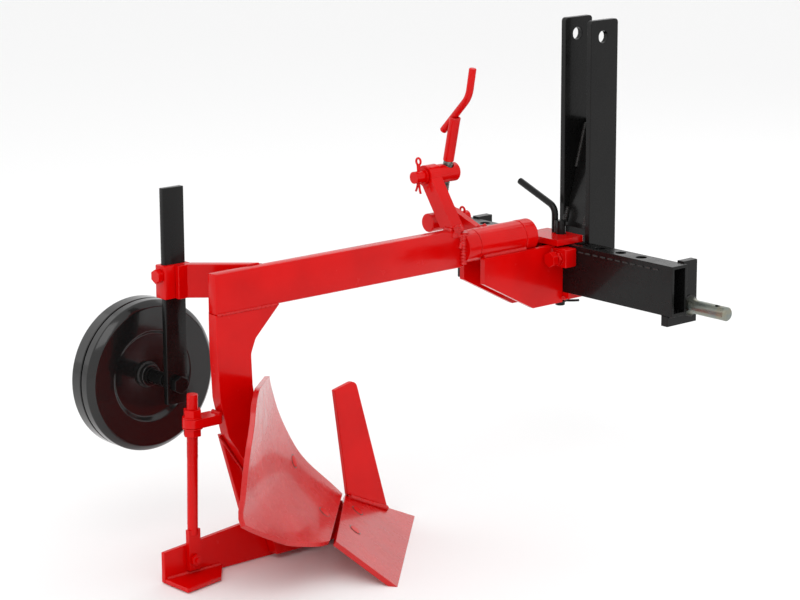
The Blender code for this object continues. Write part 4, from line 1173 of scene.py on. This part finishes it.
@dataclass
class BeamAndBody(SubAssembly):
    """Beam, leg, mouldboard, share, knife, landside and their welds and bolts."""

    plate_edge: float = 0.0013
    beam_edge: float = 0.0022
    board_edge: float = 0.0010
    blade_edge: float = 0.0007
    bead: float = 0.0030
    leg_bead: float = 0.0019
    frog_bead: float = 0.0018
    sheet: float = 0.008
    head_radius: float = 0.0072
    head_stretch: float = 1.35
    knife_steps: int = 8
    share_fall: float = 0.4615
    share_skew: float = 1.0247

    def build(self) -> None:
        """Builds and hangs every piece."""
        shop, plate = self.shop, self.plate_edge
        edges = {
            "main_beam": self.beam_edge,
            "pivot_shaft": 0.0010,
            "shaft_retainer": 0.0014,
            "tilt_arm": 0.0014,
            **dict.fromkeys(("leg", "frog_plate", "share_knife", "landside", "heel_plate"), plate),
            "wheel_strap": plate,
            "wheel_sleeve": 0.0006,
            "sleeve_bolt": 0.0008,
        }
        self.plates(shop.red, edges)
        board = from_cad("mouldboard", self.board_edge, shop.board.material, curved=True)
        self.keep(board, shop.board, "mouldboard")
        self.plates(shop.board, {"share": self.blade_edge})
        beads = Beads()
        self.beam_beads(beads)
        self.body_beads(beads)
        self.weld("beam_welds", beads, shop.red_weld, 71)
        self.plough_bolts()

    def beam_beads(self, beads: Beads) -> None:
        """Adds the welds of the beam to shaft, leg, arm and strap."""
        beam = Box(*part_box("main_beam"))
        leg = Box(*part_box("leg"))
        arm = Box(*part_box("tilt_arm"))
        strap = Box(*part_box("wheel_strap"))
        front, foot = beam.high.y, beam.high.z
        for x in (beam.low.x, beam.high.x):
            beads.post(0.0062, x, front, beam.low.z + 0.005, foot - 0.004)
            beads.heap(spot(x, front - 0.001, foot - 0.016), 0.013, 0.0055)
            seam = (leg.low.y + 0.002, leg.low.y + 0.112)
            beads.line(self.leg_bead, *(spot(x, y, beam.low.z) for y in seam))
        sides = (beam.low.x + 0.001, beam.high.x - 0.001)
        for y, radius in ((arm.low.y, 0.0048), (front - 0.003, 0.0058)):
            beads.line(radius, *(spot(x, y, foot) for x in sides))
        beads.heap(spot(beam.high.x - 0.001, arm.low.y + 0.006, foot), 0.010, 0.0045)
        for x in (beam.low.x, beam.high.x - 0.0015):
            beads.line(0.0044, spot(x, arm.low.y, foot), spot(x, front - 0.002, foot))
        for back in (-0.608, -0.588):
            y = at(0, back, 0).y
            beads.post(self.bead, beam.low.x, y, strap.low.z + 0.002, strap.high.z - 0.002)

    def body_beads(self, beads: Beads) -> None:
        """Adds the welds of frog, heel plate, landside, knife and brace eye."""
        leg = Box(*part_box("leg"))
        heel = Box(*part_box("heel_plate"))
        land = Box(*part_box("landside"))
        eye = Box(*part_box("brace_eye"))
        frog = ((-0.668, -0.203), (-0.6300, -0.258), (-0.601, -0.335))
        beads.line(self.frog_bead, *(at(land.high.x, y, z) for y, z in frog))
        seam = (heel.low.y + 0.004, heel.high.y - 0.004)
        beads.line(self.bead, *(spot(heel.low.x, y, heel.high.z) for y in seam))
        for x, radius in ((land.low.x, 0.0016), (land.high.x, 0.0024)):
            beads.line(radius, at(x, -0.618, -0.3449), at(x, -0.462, -0.3449))
        beads.line(0.0042, *self.knife_foot(-0.0222, 0.0026))
        beads.line(0.0022, *self.knife_foot(-0.0312, 0.0000))
        for x in (leg.low.x, leg.high.x):
            beads.post(self.bead, x, eye.high.y - 0.001, eye.low.z + 0.001, eye.high.z - 0.001)
        beads.line(self.bead, *(spot(x, eye.high.y, eye.high.z) for x in (leg.low.x, leg.high.x)))

    def knife_foot(self, x: float, lift: float) -> list[Vector]:
        """The line where the knife meets the share.

        Args:
            x: Across, from the datum.
            lift: Above the share.

        Returns:
            The line's points.
        """
        points = []
        for step in range(self.knife_steps + 1):
            y = -0.425 + 0.076 * step / self.knife_steps
            z = -0.342 - self.share_fall * (y + (x + 0.031) * self.share_skew + 0.426)
            points.append(at(x, y, z + lift))
        return points

    def plough_bolts(self) -> None:
        """Countersunk oval heads on the working face, each on a dark disc of painted shade for the gap round
        it, and nuts behind them.
        """
        aims = (
            ("share", at(0.010, -0.437, -0.357)),
            ("share", at(0.072, -0.495, -0.361)),
            ("mouldboard", at(-0.008, -0.545, -0.260)),
            ("mouldboard", at(0.050, -0.534, -0.328)),
        )
        holes = []
        for node, aim in aims:
            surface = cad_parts[node].data
            corners = [vertex.co for vertex in surface.vertices]
            faces = [tuple(face.vertices) for face in surface.polygons]
            place, normal, _, _ = BVHTree.FromPolygons(corners, faces).find_nearest(aim)
            if normal.y < 0:
                normal = -normal
                place = place + normal * self.sheet
            holes.append((place, normal))
        oval, red, back = self.head_stretch, self.shop.red, -self.sheet
        # The first row lays a dark disc a little wider than each head just under it: painted shade for the
        # gap round the countersunk head.
        rows = (
            ("gap_shade_rings", 0.0001, self.head_radius * 1.16, 0.0009, 36, self.shop.bolt_seat, oval, 0.0002),
            ("heads", 0.0003, self.head_radius, 0.0016, 36, red, oval, 0.0005),
            ("nuts", back - 0.0048, 0.0104, 0.0090, 6, red, 1.0, 0.0007),
            ("tails", back - 0.0080, 0.0049, 0.0160, 20, red, 1.0, 0.0006),
        )
        for name, depth, radius, height, sides, coat, stretch, edge in rows:
            places = [(place + normal * depth, normal) for place, normal in holes]
            self.heads(
                f"plough_bolt_{name}", places, radius, height, sides, coat, stretch=stretch, edge=edge
            )


@dataclass
class HeelBrace(SubAssembly):
    """The adjustable rod between the leg and the heel of the landside."""

    rod_radius: float = 0.0080
    thread_relief: float = 0.00015
    thread_ridge: float = 0.00062
    thread_pitch: float = 0.0020
    thread_length: float = 0.095

    def build(self) -> None:
        """Builds and hangs every piece."""
        red = self.shop.red
        nuts = {"brace_nut_upper": 0.0012, "brace_nut_lower": 0.0012}
        self.plates(red, {"brace_eye": 0.0016, "brace_rod": 0.0012, **nuts})
        top, foot = at(-0.0195, -0.724, -0.1262), at(-0.0265, -0.724, -0.342)
        end = top + (foot - top).normalized() * self.thread_length
        core = self.rod_radius - self.thread_relief
        sizes = (core, self.thread_ridge, self.thread_pitch)
        thread = self.hardware.thread("brace_rod_thread", end, top, *sizes, red.material)
        self.keep(thread, red)
        self.washers()
        self.foot_bolt()

    def washers(self) -> None:
        """A washer under each nut."""
        eye, nut = Box(*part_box("brace_eye")), Box(*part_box("brace_nut_upper")).middle
        heights = (eye.high.z + 0.0011, eye.low.z - 0.0011)
        places = [(spot(nut.x, nut.y, z), UP) for z in heights]
        self.heads("brace_washers", places, 0.0150, 0.0018, 36, self.shop.red)

    def foot_bolt(self) -> None:
        """The bolt that holds the rod's flat foot to the landside."""
        right, red = at(-0.0210, -0.724, -0.378), self.shop.red
        left = spot(Box(*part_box("landside")).low.x, right.y, right.z)
        nut, tail = [(right + RIGHT * 0.0030, RIGHT)], [(right + RIGHT * 0.0040, RIGHT)]
        self.heads("heel_bolt_nut", nut, 0.0092, 0.0058, 6, red, edge=0.0006)
        self.heads("heel_bolt_tail", tail, 0.0040, 0.0100, 20, red, edge=0.0005)
        dome = [
            (0.0, 0.0042), (0.0030, 0.0038), (0.0062, 0.0024),
            (0.0085, 0.0004), (0.0085, -0.0008), (0.0, -0.0008),
        ]
        self.keep(lathe("heel_bolt_head", dome, left, -RIGHT, red.material, 32), red)


@dataclass
class LevellingScrew(SubAssembly):
    """Screw, crank, the two trunnions and the pins that keep them."""

    body = Body.SCREW
    screw_y: float = -0.174
    lower: tuple[float, float] = (-0.0955, 0.0445)
    upper: tuple[float, float] = (-0.0772, 0.1255)
    thread_start: float = 0.0130
    shoulder: float = 0.1035
    core: float = 0.0070
    ridge: float = 0.0009
    pitch: float = 0.0030
    sleeve: float = 0.00875
    sleeve_top: float = 0.1745
    sleeve_edge: float = 0.0012
    crank_ring: float = 0.0070
    crank_bead: float = 0.0019
    pin_eye: float = 0.0052
    pin_gauge: float = 0.0018
    leg_gap: float = 0.0012

    def along(self, distance: float) -> Vector:
        """A point on the screw's axis.

        Args:
            distance: Above the lower trunnion's axis.

        Returns:
            The point.
        """
        across, rise = self.upper[0] - self.lower[0], self.upper[1] - self.lower[1]
        way = Vector((across, 0.0, rise)).normalized()
        return at(self.lower[0], self.screw_y, self.lower[1]) + way * distance

    def build(self) -> None:
        """Builds and hangs every piece."""
        shop = self.shop
        self.plates(shop.red, {"lower_trunnion": 0.0008, "crank_handle": 0.0016})
        self.plates(shop.red, {"upper_trunnion": 0.0008}, Body.ARM_TRUNNION)
        start, end = self.along(self.thread_start), self.along(self.shoulder + 0.001)
        sizes = (self.core, self.ridge, self.pitch)
        thread = self.hardware.thread("tilt_screw_thread", start, end, *sizes, shop.thread.material)
        self.keep(thread, shop.thread)
        way = (end - start).normalized()
        length = self.sleeve_top - self.shoulder
        tube = [(0.0, 0.0), (self.sleeve, 0.0), (self.sleeve, length), (0.0, length)]
        base, red = self.along(self.shoulder), shop.red.material
        sleeve = lathe("tilt_screw_sleeve", tube, base, way, red, 40, edge=self.sleeve_edge)
        self.keep(sleeve, shop.red, "tilt_screw")
        beads, top = Beads(), self.along(self.sleeve_top)
        beads.line(self.crank_bead, *arc(top, way.cross(AHEAD), AHEAD, self.crank_ring))
        self.weld("crank_weld", beads, shop.red_weld, 131)
        self.pins()

    def pins(self) -> None:
        """Washers and split pins on the ends of both trunnions."""
        red = self.shop.red
        rows = (
            ("upper", self.upper, -0.2232, 0.0132, -0.2330, 0.030, 0.026, Body.ARM_TRUNNION),
            ("lower", self.lower, -0.1352, 0.0160, -0.1230, 0.016, 0.016, Body.SCREW),
        )
        for name, (x, z), washer_y, radius, pin_y, rise, drop, body in rows:
            places = [(at(x, washer_y, z), AHEAD)]
            self.heads(f"{name}_trunnion_washer", places, radius, 0.0026, 36, red, body)
            path = self.split_pin(at(x, pin_y, z), rise, drop)
            pin = wire(f"{name}_split_pin", path, self.pin_gauge, red.material)
            self.keep(pin, red, body=body)

    def split_pin(self, centre: Vector, rise: float, drop: float) -> list[Vector]:
        """A split pin: an eye above, and two legs through the trunnion that part below it.

        Args:
            centre: Where it crosses the trunnion's axis.
            rise: How far the eye's neck is above the axis.
            drop: How far the legs reach below it.

        Returns:
            The wire's points.
        """
        neck = centre + UP * (rise - 2 * self.pin_eye)
        eye = arc(neck + UP * self.pin_eye, RIGHT, UP, self.pin_eye, -62, 242, 20)
        left, right = centre - RIGHT * self.leg_gap, centre + RIGHT * self.leg_gap
        return [
            right - UP * drop + RIGHT * 0.0040,
            right - UP * (drop * 0.72) + RIGHT * 0.0008,
            right,
            right + UP * (rise * 0.45),
            *eye,
            left + UP * (rise * 0.45),
            left,
            left - UP * (drop * 0.66) - RIGHT * 0.0010,
            left - UP * (drop * 0.88) - RIGHT * 0.0050,
        ]


@dataclass
class GaugeWheel(SubAssembly):
    """Pressed steel wheel on a stub axle, with its stem."""

    body = Body.CARRIER
    steps: int = 96
    wall: float = 0.0030
    seam: float = 0.003
    seam_share: float = 0.44
    hub_radius: float = 0.017
    hub_weld_inset: float = 0.0155
    bore: float = 0.0086
    shoulder: float = 0.009
    step: float = 0.064
    dish: float = 0.011
    edge: float = 0.0016

    def build(self) -> None:
        """Builds and hangs every piece."""
        shop = self.shop
        self.plates(shop.black, {"wheel_stem": 0.0010, "wheel_axle": 0.0010})
        wheel = Box(*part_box("gauge_wheel"))
        width = wheel.high.x - wheel.low.x
        base = spot(wheel.high.x, wheel.middle.y, wheel.middle.z)
        profile = self.profile((wheel.high.z - wheel.low.z) / 2, width)
        pressing = lathe(
            "gauge_wheel_pressing", profile, base, Vector((-1, 0, 0)), shop.enamel.material,
            self.steps, ring=True, edge=self.edge,
        )
        self.keep(pressing, shop.enamel, "gauge_wheel", body=Body.WHEEL)
        beads = Beads()
        for inset in (self.hub_weld_inset, width - self.hub_weld_inset):
            ring = arc(base - RIGHT * inset, AHEAD, UP, self.hub_radius + 0.0006, steps=40)
            beads.line(0.0026, *ring)
        self.weld("wheel_hub_welds", beads, shop.hub_weld, 171, Body.WHEEL)
        self.axle_hardware(wheel)

    def profile(self, radius: float, width: float) -> list[tuple[float, float]]:
        """The section of the two pressed discs, joined at the hub, with a gap at their rims.

        Args:
            radius: The wheel's radius.
            width: Its width.

        Returns:
            Radius and distance from the face on the stem's side.
        """
        wall, hub, far, step = self.wall, self.hub_radius, width, self.step
        part, gap = width * self.seam_share, self.seam / 2
        knee, rim, tread = step + 0.006, radius - self.shoulder, radius - wall
        outer = [
            (self.bore, far - 0.006), (hub, far - 0.006), (hub, far - 0.016),
            (step, far - self.dish), (knee, far - 0.003), (rim, far), (radius - 0.004, far - 0.004),
            (radius, far - self.shoulder), (radius, part + gap), (tread, part + gap),
            (tread, far - self.shoulder), (rim, far - wall), (knee, far - 0.003 - wall),
            (step, far - self.dish - wall), (hub + 0.004, far - 0.016 - wall),
        ]
        inner = [
            (hub + 0.004, 0.016 + wall), (step, self.dish + wall), (knee, 0.003 + wall),
            (rim, wall), (tread, self.shoulder), (tread, part - gap),
            (radius, part - gap), (radius, self.shoulder), (radius - 0.004, 0.004), (rim, 0.0),
            (knee, 0.003), (step, self.dish), (hub, 0.016), (hub, 0.006), (self.bore, 0.006),
        ]
        return outer + inner

    def axle_hardware(self, wheel: Box) -> None:
        """Washers beside the hub, the nut behind the stem and the spacer between them.

        Args:
            wheel: The wheel's box.
        """
        stem, black = Box(*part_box("wheel_stem")), self.shop.black

        def on_axle(*xs: float) -> Places:
            """Places along the axle."""
            return [(spot(x, wheel.middle.y, wheel.middle.z), RIGHT) for x in xs]

        beside = on_axle(wheel.high.x - 0.0040, wheel.low.x + 0.0040)
        self.heads("axle_washers", beside, 0.0132, 0.0026, 36, black)
        self.heads("axle_nut", on_axle(stem.low.x - 0.0055), 0.0139, 0.0105, 6, black, edge=0.0011)
        spacer = on_axle(wheel.high.x + 0.0135)
        self.heads("axle_spacer", spacer, 0.0104, 0.0330, 36, black, edge=0.0009)


# ---------------------------------------------------------------- studio
@dataclass
class Studio:
    """Floor, light and camera."""

    eye: Point = (3.0292, -2.9794, 0.9051)
    heading: float = 48.93
    pitch: float = 13.26
    roll: float = -0.23
    lens: float = 121.2
    sensor: float = 36.0
    floor_radius: float = 14.0
    aim: Point = (0.0, 0.0, 0.35)
    panels: tuple[tuple[str, Point, float, float], ...] = (
        ("key", (1.9, -2.2, 3.2), 2.2, 34.0),
        ("fill", (-2.6, -1.4, 1.7), 2.4, 8.0),
        ("rim", (-0.6, 2.8, 2.4), 2.0, 12.0),
    )

    def build(self) -> None:
        """Sets up the whole studio."""
        self.floor()
        self.sky()
        for name, place, size, power in self.panels:
            self.panel(name, Vector(place), size, power)
        self.camera()

    def floor(self) -> None:
        """A wide disc under the plough."""
        shape = bmesh.new()
        bmesh.ops.create_circle(shape, cap_ends=True, radius=self.floor_radius, segments=96)
        mesh = meshed(shape, "floor")
        new_piece("floor", mesh, StudioFloor().material())

    def sky(self) -> None:
        """An even white surround."""
        world = bpy.data.worlds.new("studio")
        world.use_nodes = True
        light = world.node_tree.nodes["Background"]
        light.inputs["Color"].default_value = (1.0, 1.0, 1.0, 1.0)
        light.inputs["Strength"].default_value = 1.0
        bpy.context.scene.world = world
        bpy.context.scene.view_settings.view_transform = "Standard"

    def panel(self, name: str, place: Vector, size: float, power: float) -> None:
        """A soft square light aimed at the plough.

        Args:
            name: The light's name.
            place: Where it hangs.
            size: Its side.
            power: Its power in watts.
        """
        light = bpy.data.lights.new(name, "AREA")
        light.shape = "SQUARE"
        light.size = size
        light.energy = power
        lamp = placed(name, light)
        lamp.location = place
        lamp.rotation_mode = "QUATERNION"
        lamp.rotation_quaternion = (Vector(self.aim) - place).to_track_quat("-Z", "Y")

    def camera(self) -> None:
        """The main view."""
        data = bpy.data.cameras.new("camera")
        data.lens = self.lens
        data.sensor_width = self.sensor
        camera = placed("camera", data)
        camera.location = at(*self.eye)
        heading = Matrix.Rotation(math.radians(self.heading), 4, "Z")
        level = Matrix.Rotation(math.radians(90.0 - self.pitch), 4, "X")
        tilt = Matrix.Rotation(math.radians(self.roll), 4, "Z")
        camera.rotation_mode = "QUATERNION"
        camera.rotation_quaternion = (heading @ level @ tilt).to_quaternion()
        bpy.context.scene.camera = camera


def main() -> None:
    """Builds the studio and each sub-assembly in turn."""
    logging.basicConfig(level=logging.INFO, format="%(message)s")
    shop, hardware = PaintShop(), Hardware()
    Studio().build()
    for kind in (Headstock, OffsetBracket, BeamAndBody, HeelBrace, LevellingScrew, GaugeWheel):
        LOG.info("building %s", kind.__name__)
        kind(shop, hardware).build()


if __name__ == "__main__":
    main()
